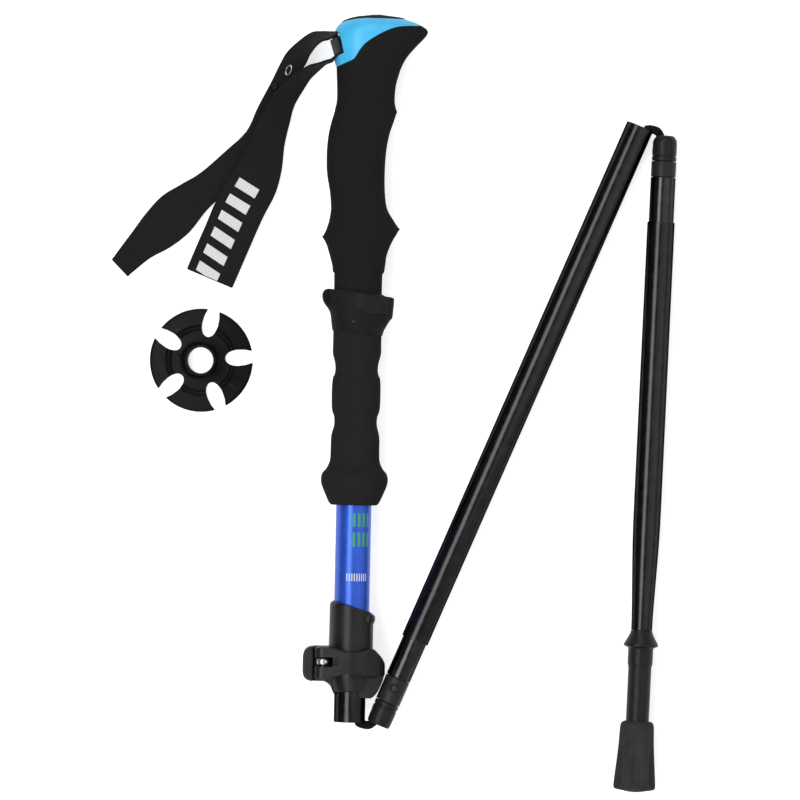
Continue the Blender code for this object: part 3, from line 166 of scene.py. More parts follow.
def make_stage():
    """A pale floor that the camera sees as white, with the object's shadow on it."""
    shape = bmesh.new()
    bmesh.ops.create_grid(shape, x_segments=1, y_segments=1, size=4.0 / MM)
    floor = Solid("floor", shape, Matrix.Identity(4)).made
    floor.location.z = -0.0002
    look = Look("floor", (0.8, 0.8, 0.8), 0.9)
    camera_ray = look.node("LightPath", "Is Camera Ray")
    rays = camera_ray.node.outputs
    glow = look.sum("MULTIPLY", camera_ray, 0.68)
    for ray in ("Is Glossy Ray", "Is Transmission Ray"):
        glow = look.sum("MAXIMUM", glow, look.sum("MULTIPLY", rays[ray], 0.24))
    look.set(Emission_Color=(1.0, 1.0, 1.0, 1.0), Emission_Strength=glow)
    floor.data.materials.append(look.material)


def make_world():
    """A soft studio, dim on the left and lighter towards the right."""
    world = bpy.data.worlds.new("studio")
    bpy.context.scene.world = world
    world.use_nodes = True
    tree = world.node_tree
    sky = tree.nodes["Background"]
    sky.inputs["Color"].default_value = (1.0, 1.0, 1.0, 1.0)
    place = tree.nodes.new("ShaderNodeTexCoord")
    parts = tree.nodes.new("ShaderNodeSeparateXYZ")
    level = tree.nodes.new("ShaderNodeMapRange")
    level.interpolation_type = "SMOOTHSTEP"
    for socket, value in {"From Min": -0.1, "From Max": 0.9, "To Min": 0.1, "To Max": 0.5}.items():
        level.inputs[socket].default_value = value
    tree.links.new(place.outputs["Generated"], parts.inputs[0])
    tree.links.new(parts.outputs["X"], level.inputs["Value"])
    tree.links.new(level.outputs["Result"], sky.inputs["Strength"])


def make_lights():
    """A strip that draws the line of light on the tubes, a side panel, and fill from both ends."""
    for name, spot, size, power in (
        ("strip", (-0.52, 0.0, 1.5), (2.2, 0.7), 17.5),
        ("right_soft", (1.0, 0.1, 1.35), (1.2, 1.8), 3.0),
        ("head_soft", (0.0, 1.6, 1.3), (1.2, 0.8), 7.5),
        ("foot_soft", (0.0, -1.6, 1.3), (1.2, 0.8), 7.5),
    ):
        data = bpy.data.lights.new(name, "AREA")
        data.shape = "RECTANGLE"
        data.size, data.size_y = size
        data.energy = power
        made = linked(name, data)
        made.location = spot
        made.rotation_mode = "QUATERNION"
        made.rotation_quaternion = (-Vector(spot)).to_track_quat("-Z", "Y")


# Materials

# The record's slot of each look that isn't named after its slot
SLOTS = {
    "ferrule_metal": "black_metal",
    "dark_steel": "steel",
    "foam_lower": "foam",
    "basket_plastic": "black_plastic",
    "clamp_plastic": "black_plastic",
    "wedge_plastic": "black_plastic",
    "dark_rubber_and_painted_shade": "black_rubber",
    "flap_rubber": "black_rubber",
    "boot_rubber": "black_rubber",
    "webbing_front": "webbing",
}
# The colour sockets of a Mix node, by number
MIX_FIRST, MIX_SECOND, MIX_RESULT = 6, 7, 2


def grey(level, bluer=0.0005):
    return (level, level, level + bluer)


def paler(colour, gain):
    return tuple(min(1.0, v * gain + 0.01) for v in colour)


class Look:
    """A Principled material and the few nodes that its detail needs."""

    def __init__(self, name, colour, roughness, metallic=0.0, **more):
        self.name, self.slot = name, SLOTS.get(name, name)
        self.material = bpy.data.materials.new(name)
        self.material.use_nodes = True
        self.tree = self.material.node_tree
        self.set(Base_Color=(*colour, 1.0), Roughness=roughness, Metallic=metallic, **more)

    def fill(self, socket, value):
        if isinstance(value, bpy.types.NodeSocket):
            self.tree.links.new(value, socket)
        else:
            socket.default_value = value

    def set(self, **values):
        """Fills the shader's own sockets, named with _ for a space."""
        for key, value in values.items():
            self.fill(self.tree.nodes["Principled BSDF"].inputs[key.replace("_", " ")], value)

    def node(self, kind, output, inputs=None, **settings):
        """The named output of a new node with these inputs and settings."""
        made = self.tree.nodes.new("ShaderNode" + kind)
        for key, value in settings.items():
            setattr(made, key, value)
        for key, value in (inputs or {}).items():
            self.fill(made.inputs[key], value)
        return made.outputs[output]

    def place(self):
        """Where a point is, in the row's metres."""
        return self.node("TexCoord", "Object")

    def along(self):
        """Where a point is in millimetres round and along the piece."""
        return self.node("UVMap", "UV", uv_map="length")

    def parts(self, place):
        outputs = self.node("SeparateXYZ", 0, {0: place}).node.outputs
        return outputs["X"], outputs["Y"]

    def noise(self, place, scale, detail=3.0, roughness=0.55, stretch=None):
        if stretch:
            place = self.node("Mapping", "Vector", {"Vector": place, "Scale": stretch})
        inputs = {"Vector": place, "Scale": scale, "Detail": detail, "Roughness": roughness}
        return self.node("TexNoise", "Fac", inputs)

    def span(self, value, low, high, from_low=0.3, from_high=0.7):
        """A value taken from one range to another."""
        inputs = {"Value": value, "From Min": from_low, "From Max": from_high}
        return self.node("MapRange", "Result", {**inputs, "To Min": low, "To Max": high})

    def blend(self, share, first, second):
        inputs = {"Factor": share}
        for key, value in ((MIX_FIRST, first), (MIX_SECOND, second)):
            inputs[key] = (*value, 1.0) if isinstance(value, tuple) else value
        return self.node("Mix", MIX_RESULT, inputs, data_type="RGBA")

    def shades(self, value, dark, light):
        """Between two colours, by a noise."""
        return self.blend(self.span(value, 0.0, 1.0), dark, light)

    def sum(self, operation, *values):
        return self.node("Math", 0, dict(enumerate(values)), operation=operation)

    def wave(self, value, per_mm):
        """A smooth wave between 0 and 1 over a length in millimetres."""
        turn = self.sum("MULTIPLY", value, 2 * math.pi * per_mm)
        return self.sum("MULTIPLY_ADD", self.sum("SINE", turn), 0.5, 0.5)

    def between(self, value, low, high):
        """1 where a value is between two bounds, else 0."""
        above = self.sum("GREATER_THAN", value, low)
        return self.sum("MULTIPLY", above, self.sum("LESS_THAN", value, high))

    def strokes(self, value, pitch, low, high):
        """1 on the strokes of a row with this pitch, drawn from low to high of it, else 0."""
        step = self.sum("FRACT", self.sum("DIVIDE", value, pitch))
        return self.between(step, low, high)

    def bump(self, height, depth_mm, strength=1.0, under=None):
        inputs = {"Distance": depth_mm * MM, "Strength": strength, "Height": height}
        if under is not None:
            inputs["Normal"] = under
        return self.node("Bump", "Normal", inputs)


def foam_look(name, dark, light):
    look = Look(name, dark, 0.92, Specular_IOR_Level=0.08)
    place = look.place()
    fine = look.noise(place, 2600.0, 4.0, 0.65)
    pits = look.node("TexVoronoi", "Distance", {"Vector": place, "Scale": 1900.0})
    look.set(
        Base_Color=look.shades(fine, dark, light),
        Roughness=look.span(look.noise(place, 160.0), 0.86, 0.97),
        Normal=look.bump(fine, 0.12, 0.6, look.bump(pits, 0.09, 0.7)),
    )
    return look


def moulded_look(name, dark, light, roughness, level=0.22):
    """Satin moulded plastic: spark-eroded grain, slight flow marks and worn, lighter edges."""
    look = Look(name, dark, roughness, Specular_IOR_Level=level)
    place = look.place()
    fine = look.noise(place, 2400.0, 3.0, 0.6)
    broad = look.noise(place, 90.0, 4.0)
    edge = look.span(look.node("NewGeometry", "Pointiness"), 0.0, 0.35, 0.53, 0.62)
    sheen = look.sum("ADD", fine, broad)
    look.set(
        Base_Color=look.blend(edge, look.shades(broad, dark, light), paler(light, 2.2)),
        Roughness=look.span(sheen, roughness - 0.07, roughness + 0.08, 0.7, 1.3),
        Normal=look.bump(fine, 0.035, 0.8),
    )
    return look


def grained_look(name, colour, dark, light, fine, broad, rough, bump, **more):
    """A plain finish: a fine grain in its gloss and relief, and broad shades of its colour."""
    look = Look(name, colour, **more)
    place = look.place()
    grain = look.noise(place, *fine)
    look.set(
        Base_Color=look.shades(look.noise(place, *broad), dark, light),
        Roughness=look.span(grain, *rough),
        Normal=look.bump(grain, *bump),
    )
    return look


def rubber_look(name, dark, light):
    grain = ((1800.0, 5.0, 0.6), (120.0,), (0.62, 0.82), (0.06, 0.6))
    return grained_look(name, dark, dark, light, *grain, roughness=0.72, Specular_IOR_Level=0.16)


def anodised_look(name, dark, light, roughness, metallic, tint, marks=None, **more):
    """Anodised tube: fine drawn lines along it, a satin bloom and a few hair scratches."""
    look = Look(name, dark, roughness, metallic, Specular_Tint=(*tint, 1.0), **more)
    along = look.along()
    lines = look.noise(along, 1.0, 3.0, 0.6, (9.0, 0.06, 1.0))
    cloud = look.noise(look.place(), 220.0, 4.0)
    scratch = look.noise(along, 1.0, 2.0, stretch=(1.4, 0.02, 1.0))
    hair = look.span(scratch, 0.0, 0.5, 0.70, 0.74)
    colour = look.blend(hair, look.shades(cloud, dark, light), paler(light, 1.5))
    bloom = look.sum("ADD", lines, cloud)
    rough = look.span(bloom, roughness - 0.05, roughness + 0.07, 0.75, 1.25)
    if marks:
        ink, paint = marks(look, along)
        colour = look.blend(ink, colour, paint)
        look.set(Metallic=look.span(ink, metallic, 0.0, 0.0, 1.0))
        rough = look.sum("MULTIPLY_ADD", ink, 0.25, rough)
    look.set(Base_Color=colour, Roughness=rough, Normal=look.bump(lines, 0.002, 0.5))
    return look


def scale_marks(look, along):
    """A plain length scale: two rows of short green strokes and a row of fine white ones below."""
    around, height = look.parts(along)
    strokes = look.strokes(around, 2.6, 0.2, 0.75)
    green = look.sum("MULTIPLY", strokes, look.between(around, 40.4, 53.4))
    rows = [look.between(height, low, high) for low, high in ((219.5, 226.3), (229.2, 236.4))]
    green = look.sum("MULTIPLY", green, look.sum("MAXIMUM", *rows))
    strokes = look.strokes(around, 1.3, 0.25, 0.7)
    white = look.sum("MULTIPLY", strokes, look.between(around, 39.0, 50.7))
    white = look.sum("MULTIPLY", white, look.between(height, 250.2, 254.0))
    ink = look.sum("MAXIMUM", white, green)
    return ink, look.blend(green, (0.75, 0.75, 0.74), (0.06, 0.36, 0.14))


def cable_look():
    """Braided cord: strands that wind round it."""
    look = Look("cable", (0.03, 0.03, 0.03), 0.42)
    around, height = look.parts(look.along())
    fine = look.noise(look.place(), 2200.0)
    strand = look.wave(look.sum("ADD", height, look.sum("MULTIPLY", around, 1.2)), 1.1)
    look.set(
        Base_Color=look.shades(fine, grey(0.022, 0.0), grey(0.04, 0.0)),
        Roughness=look.span(fine, 0.35, 0.52),
        Normal=look.bump(strand, 0.05, 0.5),
    )
    return look


def webbing_look(name, bars=None):
    """Woven webbing: warp ribs along it, weft floats across them, and loose fuzz."""
    look = Look(name, grey(0.013), 0.86, Sheen_Weight=0.03, Specular_IOR_Level=0.15)
    across, along = look.parts(look.along())
    warp = look.wave(across, 0.95)
    weft = look.wave(look.sum("ADD", along, look.sum("MULTIPLY", across, 0.45)), 1.25)
    weave = look.sum("MULTIPLY", warp, weft)
    fuzz = look.noise(look.place(), 2300.0, 4.0, 0.65)
    share = look.span(look.sum("ADD", weave, fuzz), 0.0, 1.0, 0.35, 1.35)
    colour = look.blend(share, grey(0.008), grey(0.018, 0.001))
    if bars:
        worn = look.span(weave, 1.0, 0.86, 0.0, 1.0)
        ink = look.sum("MULTIPLY", bars(look, across, along), worn)
        colour = look.blend(ink, colour, (0.78, 0.78, 0.77))
        look.set(Roughness=look.span(ink, 0.86, 0.45, 0.0, 1.0))
    look.set(Base_Color=colour, Normal=look.bump(fuzz, 0.05, 0.5, look.bump(weave, 0.16, 0.8)))
    return look


def front_bars(look, across, along):
    """Plain reflective blocks printed in a row on the strap's front tail."""
    start, pitch, length, lean = 101.6, 9.5, 57.0, 0.22
    slant = look.sum("SUBTRACT", look.sum("MULTIPLY_ADD", across, lean, along), start)
    blocks = look.strokes(slant, pitch, 0.2, 0.74)
    blocks = look.sum("MULTIPLY", blocks, look.between(across, 6.6, 16.8))
    return look.sum("MULTIPLY", blocks, look.between(slant, 0.0, length))


def make_looks():
    black = (1.0, (0.3, 0.3, 0.3))
    gloss = ((1400.0, 4.0), (70.0,), (0.3, 0.42), (0.01, 0.4))
    lacquer = {"Specular_IOR_Level": 0.4, "Coat_Weight": 0.1, "Coat_Roughness": 0.2}
    brushed = ((1500.0,), (1500.0,), (0.16, 0.34), (0.008, 0.5))
    return [
        anodised_look(
            "blue_metal", (0.026, 0.105, 0.68), (0.034, 0.13, 0.76), 0.33, 0.5, (0.4, 0.6, 0.95),
            scale_marks, Coat_Weight=0.6, Coat_Roughness=0.25,
        ),
        anodised_look("black_metal", grey(0.036, 0.002), grey(0.05, 0.002), 0.2, *black),
        anodised_look("ferrule_metal", grey(0.05, 0.002), grey(0.068, 0.002), 0.17, *black),
        grained_look(
            "steel", (0.66, 0.66, 0.64), (0.56, 0.56, 0.55), (0.72, 0.72, 0.7), *brushed,
            roughness=0.24, metallic=1.0,
        ),
        moulded_look("dark_steel", grey(0.035, 0.0), grey(0.06, 0.0), 0.3),
        foam_look("foam", grey(0.0095), grey(0.0185)),
        foam_look("foam_lower", grey(0.0125), grey(0.0245)),
        moulded_look("black_plastic", grey(0.011), grey(0.0165), 0.36),
        moulded_look("basket_plastic", grey(0.0035, 0.0003), grey(0.006, 0.0003), 0.34, 0.085),
        moulded_look("clamp_plastic", grey(0.0095), grey(0.015), 0.33, 0.32),
        moulded_look("wedge_plastic", grey(0.022, 0.001), grey(0.034, 0.0), 0.45),
        moulded_look("grey_plastic", grey(0.017), grey(0.025), 0.38),
        moulded_look("white_plastic", grey(0.66, -0.02), grey(0.72, -0.02), 0.45),
        rubber_look("black_rubber", grey(0.0085), grey(0.013)),
        # Dark rubber of the cable sleeves, also used as painted shade on the band's rolled end.
        rubber_look("dark_rubber_and_painted_shade", grey(0.0012, 0.0002), grey(0.003, 0.0002)),
        rubber_look("flap_rubber", grey(0.013), grey(0.019)),
        rubber_look("boot_rubber", grey(0.026), grey(0.038)),
        grained_look(
            "cap_blue", (0.06, 0.54, 0.95), (0.055, 0.53, 0.95), (0.075, 0.6, 1.0), *gloss,
            roughness=0.36, **lacquer,
        ),
        cable_look(),
        webbing_look("webbing"),
        webbing_look("webbing_front", front_bars),
    ]


# Shapes in millimetres


def turns(count):
    return [2 * math.pi * i / count for i in range(count)]


def reading(line, value):
    """The row at which the first number of a line of rising rows reaches a value."""
    for low, high in zip(line, line[1:]):
        if value <= high[0]:
            return low.lerp(high, (value - low[0]) / (high[0] - low[0]))
    return line[-1]


def border(low, high, above):
    """The height between low and high from which a test holds."""
    for _ in range(26):
        middle = (low + high) / 2
        low, high = (low, middle) if above(middle) else (middle, high)
    return (low + high) / 2


def tangent(points, i):
    return (points[min(i + 1, len(points) - 1)] - points[max(i - 1, 0)]).normalized()


def flow(rows, steps, closed=False):
    """Points on a smooth curve through the given rows of numbers, or round a closed outline."""
    rows = [Vector(row) for row in rows]
    if closed:
        padded = [rows[-1], *rows, *rows[:2]]
    else:
        padded = [2 * rows[0] - rows[1], *rows, 2 * rows[-1] - rows[-2]]
    out = []
    for a, b, c, d in zip(padded, padded[1:], padded[2:], padded[3:]):
        square = 2 * a - 5 * b + 4 * c - d
        cube = 3 * b - a - 3 * c + d
        for i in range(steps):
            t = i / steps
            out.append(b + 0.5 * ((c - a) * t + square * t**2 + cube * t**3))
    return out if closed else [*out, rows[-1]]


def soften(outline, size, steps=3):
    """Rounds an outline's corners; a corner may carry its own size as a third number."""
    out = []
    for i, (x, y, *own) in enumerate(outline):
        here = Vector((x, y))
        reach = own[0] if own else size
        if reach == 0:
            out.append(here)
            continue
        back = Vector(outline[i - 1][:2]) - here
        ahead = Vector(outline[(i + 1) % len(outline)][:2]) - here
        start = here + back.normalized() * min(reach, back.length * 0.45)
        end = here + ahead.normalized() * min(reach, ahead.length * 0.45)
        for k in range(steps + 1):
            t = k / steps
            out.append((1 - t) ** 2 * start + 2 * t * (1 - t) * here + t**2 * end)
    return out


def inset(outline, size):
    """The outline drawn in by size at each of its points."""
    spots = [Vector(p[:2]) for p in outline]
    area = sum(a.cross(b) for a, b in zip(spots, spots[1:] + spots[:1]))
    side = math.copysign(size, area)
    out = []
    for i, here in enumerate(spots):
        ahead = (spots[(i + 1) % len(spots)] - spots[i - 1]).normalized()
        out.append(here + side * Vector((-ahead.y, ahead.x)))
    return out


def skin(rows, loop=False, around=None):
    """A surface through rings of points, with its UVs in millimetres round and along it."""
    rows = [[Vector(p) for p in row] for row in rows]
    count = len(rows[0])
    shape = bmesh.new()
    layer = shape.loops.layers.uv.new("length")
    rings = [[shape.verts.new(p) for p in row] for row in rows]
    heights = [0.0]
    for low, high in zip(rows, rows[1:]):
        heights.append(heights[-1] + sum((p - q).length for p, q in zip(low, high)) / count)
    heights.append(heights[-1] + 1.0)
    if around is None:
        widest = max(rows, key=lambda row: (row[0] - row[count // 2]).length)
        around = sum((widest[i] - widest[i - 1]).length for i in range(count))
    pairs = list(zip(rings, rings[1:]))
    if loop:
        pairs.append((rings[-1], rings[0]))
    for k, (low, high) in enumerate(pairs):
        for i in range(count):
            j = (i + 1) % count
            face = shape.faces.new((low[i], low[j], high[j], high[i]))
            spots = ((i, k), (i + 1, k), (i + 1, k + 1), (i, k + 1))
            for corner, (u, v) in zip(face.loops, spots):
                corner[layer].uv = (around * u / count, heights[v])
    if not loop:
        shape.faces.new(rings[0])
        shape.faces.new(rings[-1][::-1])
    bmesh.ops.recalc_face_normals(shape, faces=shape.faces)
    return shape


def lathe(profile, sides=SIDES):
    """Turns a closed profile of (radius, height); points on the axis become flat ends."""
    solid = [(r, z) for r, z in profile if r > 1e-6]
    rows = [[(r * math.cos(t), r * math.sin(t), z) for t in turns(sides)] for r, z in solid]
    return skin(rows, loop=len(solid) == len(profile))


def pipe(outer, inner, low, high, edge=0.25):
    """A tube; its UVs start at its top and run down its outside."""
    return lathe(soften(((outer, high), (outer, low), (inner, low), (inner, high)), edge))


def prism(outline, low, high):
    """An outline of (x, z) pushed along Y from low to high."""
    return skin([[(x, y, z) for x, z in outline] for y in (low, high)])


def slab(outline, low, high, edge=0.0):
    """An outline of (x, y) pushed along Z from low to high, with rounded rims if edge is set."""
    steps = ((edge, 0.0), (edge * 0.3, edge * 0.3), (0.0, edge)) if edge else ((0.0, 0.0),)
    levels = [(drawn, low + rise) for drawn, rise in steps]
    levels += [(drawn, high - rise) for drawn, rise in reversed(steps)]
    return skin([[(x, y, z) for x, y in inset(outline, drawn)] for drawn, z in levels])


def fitted(shape, size, middle):
    bmesh.ops.scale(shape, vec=size, verts=shape.verts)
    bmesh.ops.translate(shape, vec=middle, verts=shape.verts)
    return shape


def box_shape(low, high):
    shape = bmesh.new()
    bmesh.ops.create_cube(shape, size=1.0)
    return fitted(shape, Vector(high) - Vector(low), (Vector(low) + Vector(high)) / 2)


def ball(middle, radii):
    shape = bmesh.new()
    bmesh.ops.create_uvsphere(shape, u_segments=32, v_segments=20, radius=1.0)
    return fitted(shape, radii, middle)


def rod(radius, start, end, sides=48):
    start, end = Vector(start), Vector(end)
    length = (end - start).length
    shape = bmesh.new()
    bmesh.ops.create_cone(
        shape, cap_ends=True, segments=sides, radius1=radius, radius2=radius, depth=length
    )
    turn = (end - start).to_track_quat("Z", "Y").to_matrix().to_4x4()
    shape.transform(Matrix.Translation((start + end) / 2) @ turn)
    return shape


def wire_rings(points, radii, sides):
    """Rings round a line of points, each with its own radius."""
    out = []
    side = UPRIGHT
    for i, (here, radius) in enumerate(zip(points, radii)):
        ahead = tangent(points, i)
        side = (side - side.dot(ahead) * ahead).normalized()
        other = ahead.cross(side)
        spokes = [math.cos(turn) * side + math.sin(turn) * other for turn in turns(sides)]
        out.append([here + radius * spoke for spoke in spokes])
    return out


def sweep(points, radius, sides=20):
    """A round wire along points."""
    return skin(wire_rings([Vector(p) for p in points], [radius] * len(points), sides))


def egg(turn, z, left, right, depth, middle=0.0):
    """A point of an egg-shaped section whose deepest line stands at middle."""
    across = math.cos(turn)
    reach = right - middle if across > 0 else left + middle
    return Vector((middle + reach * across, depth * math.sin(turn), z))


def egg_ring(*row):
    return [egg(turn, *row) for turn in turns(GRIP_SIDES)]


def arc(x, y, radius, start, bend, steps):
    """Points of an arc, from a start and over a bend in degrees."""
    angles = [math.radians(start + bend * i / steps) for i in range(steps + 1)]
    return [(x + radius * math.cos(turn), y + radius * math.sin(turn)) for turn in angles]


def raised(spots):
    """Spots of (x, height over the grip's top) as (x, height) in the handle."""
    return [(x, z + GRIP_TOP) for x, z in spots]


# Pieces


class Solid:
    """A mesh object in the row's metres, from a shape in millimetres in a section's frame."""

    def __init__(self, name, shape, place):
        self.place = place
        shape.transform(place @ Matrix.Scale(MM, 4))
        mesh = bpy.data.meshes.new(name)
        shape.to_mesh(mesh)
        shape.free()
        self.made = linked(name, mesh)

    def modify(self, kind, **settings):
        change = self.made.modifiers.new("change", kind)
        for key, value in settings.items():
            setattr(change, key, value)
        return self

    def settle(self):
        """Bakes the modifiers into the mesh."""
        graph = bpy.context.evaluated_depsgraph_get()
        mesh = bpy.data.meshes.new_from_object(self.made.evaluated_get(graph))
        self.made.modifiers.clear()
        self.made.data = mesh
        return self

    def join(self, operation, shapes):
        for shape in shapes:
            tool = Solid("tool", shape, self.place).made
            self.modify("BOOLEAN", operation=operation, object=tool, solver="EXACT").settle()
            bpy.data.objects.remove(tool, do_unlink=True)
        return self

    def add(self, *shapes):
        return self.join("UNION", shapes)

    def cut(self, *shapes):
        return self.join("DIFFERENCE", shapes)

    def soft_corners(self, voxel, passes=6):
        """Remeshes a joined solid and smooths it, so that its parts meet in moulded fillets."""
        self.modify("REMESH", mode="VOXEL", voxel_size=voxel * MM)
        return self.modify("SMOOTH", factor=0.5, iterations=passes).settle()

    def finish(self, look, node, angle):
        """Shades the solid, puts a look on it and lets it stand for its CAD node."""
        self.made.data.shade_smooth()
        self.made.data.set_sharp_from_angle(angle=math.radians(angle))
        self.made.data.materials.clear()
        self.made.data.materials.append(LOOKS[look].material)
        if self.made.name.endswith("_fine"):
            node = self.made.name.removesuffix("_fine")
        if node:
            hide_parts(node)
        return self.made

    def piece(self, look, body, node=None, angle=38.0):
        """Finishes a piece that rides on a body; one named NODE_fine replaces that CAD node."""
        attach(self.made, body)
        return self.finish(look, node, angle)


def turned(name, profile, place, look, body, sides=SIDES, edge=0.2):
    return Solid(name, lathe(soften(profile, edge), sides), place).piece(look, body)


# Handle

# Height over the lower sleeve, reach left and right, half depth
UPPER_ROWS = (
    (0.3, 12.2, 12.0, 12.1), (16.5, 12.4, 12.1, 12.3), (18.6, 12.5, 12.3, 12.4),
    (19.8, 13.2, 13.0, 12.8), (23.0, 13.6, 13.5, 13.0), (28.0, 15.0, 14.1, 13.6),
    (33.0, 16.6, 15.8, 14.5), (36.2, 18.3, 17.3, 15.1), (37.2, 19.0, 17.8, 15.3),
    (38.2, 18.2, 18.5, 15.4), (40.9, 17.0, 19.9, 15.5), (41.8, 16.7, 20.6, 15.5),
    (42.7, 16.4, 19.7, 15.2), (46.0, 15.5, 17.4, 14.3), (52.0, 14.8, 13.9, 13.3),
    (60.0, 15.5, 12.6, 13.1), (70.0, 17.2, 12.3, 13.5), (81.0, 17.5, 12.8, 13.8),
    (90.0, 16.7, 14.3, 13.7), (96.0, 15.4, 16.2, 13.6), (100.6, 14.1, 17.6, 13.4),
    (101.6, 13.9, 18.0, 13.3), (102.6, 13.7, 17.5, 13.3), (107.0, 12.9, 16.6, 13.1),
    (115.0, 13.0, 17.1, 13.3), (123.0, 13.4, 19.2, 13.6),
)
# Height over the grip's top, reach left and right, half depth, where the section is deepest
HEAD_ROWS = (
    (0.0, 13.4, 19.2, 13.6, 0.0), (3.5, 14.4, 20.7, 13.8, 0.0), (7.0, 14.8, 22.8, 14.0, 0.0),
    (11.3, 15.1, 26.4, 14.2, 0.0), (15.3, 15.1, 30.2, 14.2, 0.2), (18.2, 14.8, 32.5, 13.9, 0.5),
    (20.6, 14.0, 32.5, 13.2, 1.0), (23.4, 11.6, 28.2, 11.6, 2.2), (25.6, 6.8, 21.8, 8.4, 4.2),
    (26.8, 1.4, 15.0, 4.2, 5.8), (27.1, -3.0, 9.5, 1.4, 6.5),
)
# The seam between the head's underside and its cap: x, height over the grip's top
SEAM = (
    (-24.0, 0.0), (-13.6, 0.9), (-9.2, 2.4), (-4.6, 4.6), (-2.4, 8.0), (0.9, 12.3), (5.9, 15.9),
    (11.9, 19.2), (17.5, 21.2), (23.6, 22.0), (28.2, 22.3), (30.6, 24.5), (33.0, 29.0),
)
HEAD_LINE = flow(HEAD_ROWS, 6)
SEAM_LINE = flow(SEAM, 8)
# The head's notch and the wedge in it, by x and height over the grip's top
NOTCH = ((-27.0, 19.4), (-14.3, 19.4), (-12.1, 17.6), (-9.7, 7.7), (-14.5, 5.4), (-27.0, 3.6))
WEDGE = ((-17.0, 14.0), (-13.4, 15.9), (-10.9, 8.6), (-14.6, 6.2))


def make_tubes():
    Solid("upper_tube_fine", pipe(*UPPER_TUBE), HANDLE).piece("blue_metal", "handle")
    height = PLUG_DEPTH - BUTTON_HEIGHT
    hole = rod(BUTTON_HOLE_R, (0.0, -3.2, height), (0.0, -20.0, height))
    Solid("inner_tube_fine", pipe(*INNER_TUBE), HANDLE).cut(hole).piece("black_metal", "inner")


def make_lower_grip():
    """The lower foam sleeve, with two grooves and a bell, drawn from its top down."""
    r, deep, bell, at = 12.3, 11.0, 17.1, 123.4
    first = JOINT_TOP - 22.0
    span = first - at - 22.1
    outer = [(r - 0.2, JOINT_TOP + 0.2), (r, JOINT_TOP - 6.0), (r, first + 5.0)]
    for edge, floor, floor_end, edge_end in ((0.0, 0.13, 0.235, 0.34), (0.65, 0.765, 0.87, 1.0)):
        groove = ((r, edge), (deep, floor), (deep, floor_end), (r, edge_end))
        outer += [(reach, first - span * share) for reach, share in groove]
    outer += [(r + 0.15, at + 13.5), (r + 0.5, at + 9.5)]
    bell_rows = [(2.8, 6.0), (0.6, 3.2), (0.0, 0.0), (0.7, -3.4)]
    bell_rows += [(2.9, -8.6), (4.4, -11.6), (5.6, -12.7)]
    outer += [(bell - less, at + over) for less, over in bell_rows]
    bore = [(GRIP_BORE + 0.4, at - 12.7), (GRIP_BORE, at - 12.2), (GRIP_BORE, JOINT_TOP + 0.2)]
    shape = lathe(flow(outer, 5) + bore, GRIP_SIDES)
    Solid("lower_grip_foam", shape, HANDLE).piece("foam_lower", "handle", "lower_grip", 50.0)


def make_upper_grip():
    rings = [egg_ring(z + JOINT_TOP, *reach) for z, *reach in flow(UPPER_ROWS, 5)]
    rings += [egg_ring(z, GRIP_BORE, GRIP_BORE, GRIP_BORE) for z in (GRIP_TOP, JOINT_TOP + CLEAR)]
    grip = Solid("upper_grip_foam", skin(rings, loop=True), HANDLE)
    grip.piece("foam", "handle", "upper_grip", 50.0)


def head_point(turn, height, drawn=0.0):
    """A point of the head at a height over the grip's top, drawn in towards its middle line."""
    spot = egg(turn, height + GRIP_TOP, *reading(HEAD_LINE, height)[1:])
    gap = Vector((5.0, 0.0, spot.z)) - spot
    return spot + gap.normalized() * min(drawn, gap.length * 0.8)


def seam_at(turn):
    """The height over the grip's top at which the seam crosses the head at a turn."""

    def above(height):
        return height > reading(SEAM_LINE, head_point(turn, height).x).y

    return border(0.0, 26.0, above)


def make_head():
    seams = [(turn, seam_at(turn)) for turn in turns(GRIP_SIDES)]
    top = HEAD_ROWS[-1][0]

    def rims(*rows):
        """Rings at heights over the seam, each drawn in by a size."""
        return [[head_point(t, seam + over, drawn) for t, seam in seams] for over, drawn in rows]

    under = [[head_point(t, -0.2) for t, _ in seams]]
    under += [[head_point(t, k / 18 * (seam - 0.55)) for t, seam in seams] for k in range(19)]
    under += rims((-0.22, 0.12), (-0.08, 0.5), (0.5, 1.1), (0.5, 3.5))
    cap = rims((0.3, 1.6), (0.05, 0.55), (0.18, 0.12))
    for k in range(31):
        cap.append([head_point(t, seam + 0.5 + k / 30 * (top - seam - 0.5)) for t, seam in seams])
    for name, rows, look, node, angle in (
        ("head_under", under, "foam", "head_base", 50.0),
        ("head_cap", cap, "cap_blue", "head_shell", 45.0),
    ):
        made = Solid(name, skin(rows), HANDLE).cut(prism(raised(NOTCH), -20.0, 7.7))
        made.piece(look, "handle", node, angle)


def crown_height(x, y):
    """The height of the head's crown over a point of its plan."""

    def outside(height):
        _, left, right, depth, middle = reading(HEAD_LINE, height)
        reach = right - middle if x > middle else left + middle
        return ((x - middle) / max(reach, 0.01)) ** 2 + (y / max(depth, 0.01)) ** 2 > 1.0

    return border(16.0, 27.5, outside) + GRIP_TOP


def make_pad():
    """The dark grip pad inlaid in the crown, a little proud of it."""
    middle, half_length, half_width = 4.9, 16.4, 7.8
    rim = ((0.9, 0.5), (0.97, 0.36), (1.0, -0.05), (1.0, -0.8))
    rows = []
    for share, lift in ((0.02, 0.42), (0.25, 0.42), (0.5, 0.44), (0.75, 0.48), *rim):
        ring = []
        for turn in turns(72):
            x = middle + half_length * share * math.cos(turn)
            y = half_width * share * math.sin(turn)
            ring.append((x, y, crown_height(x, y) + lift))
        rows.append(ring)
    Solid("head_pad_fine", skin(rows), HANDLE).piece("black_rubber", "handle", angle=55.0)


BAND_BORE = 12.62
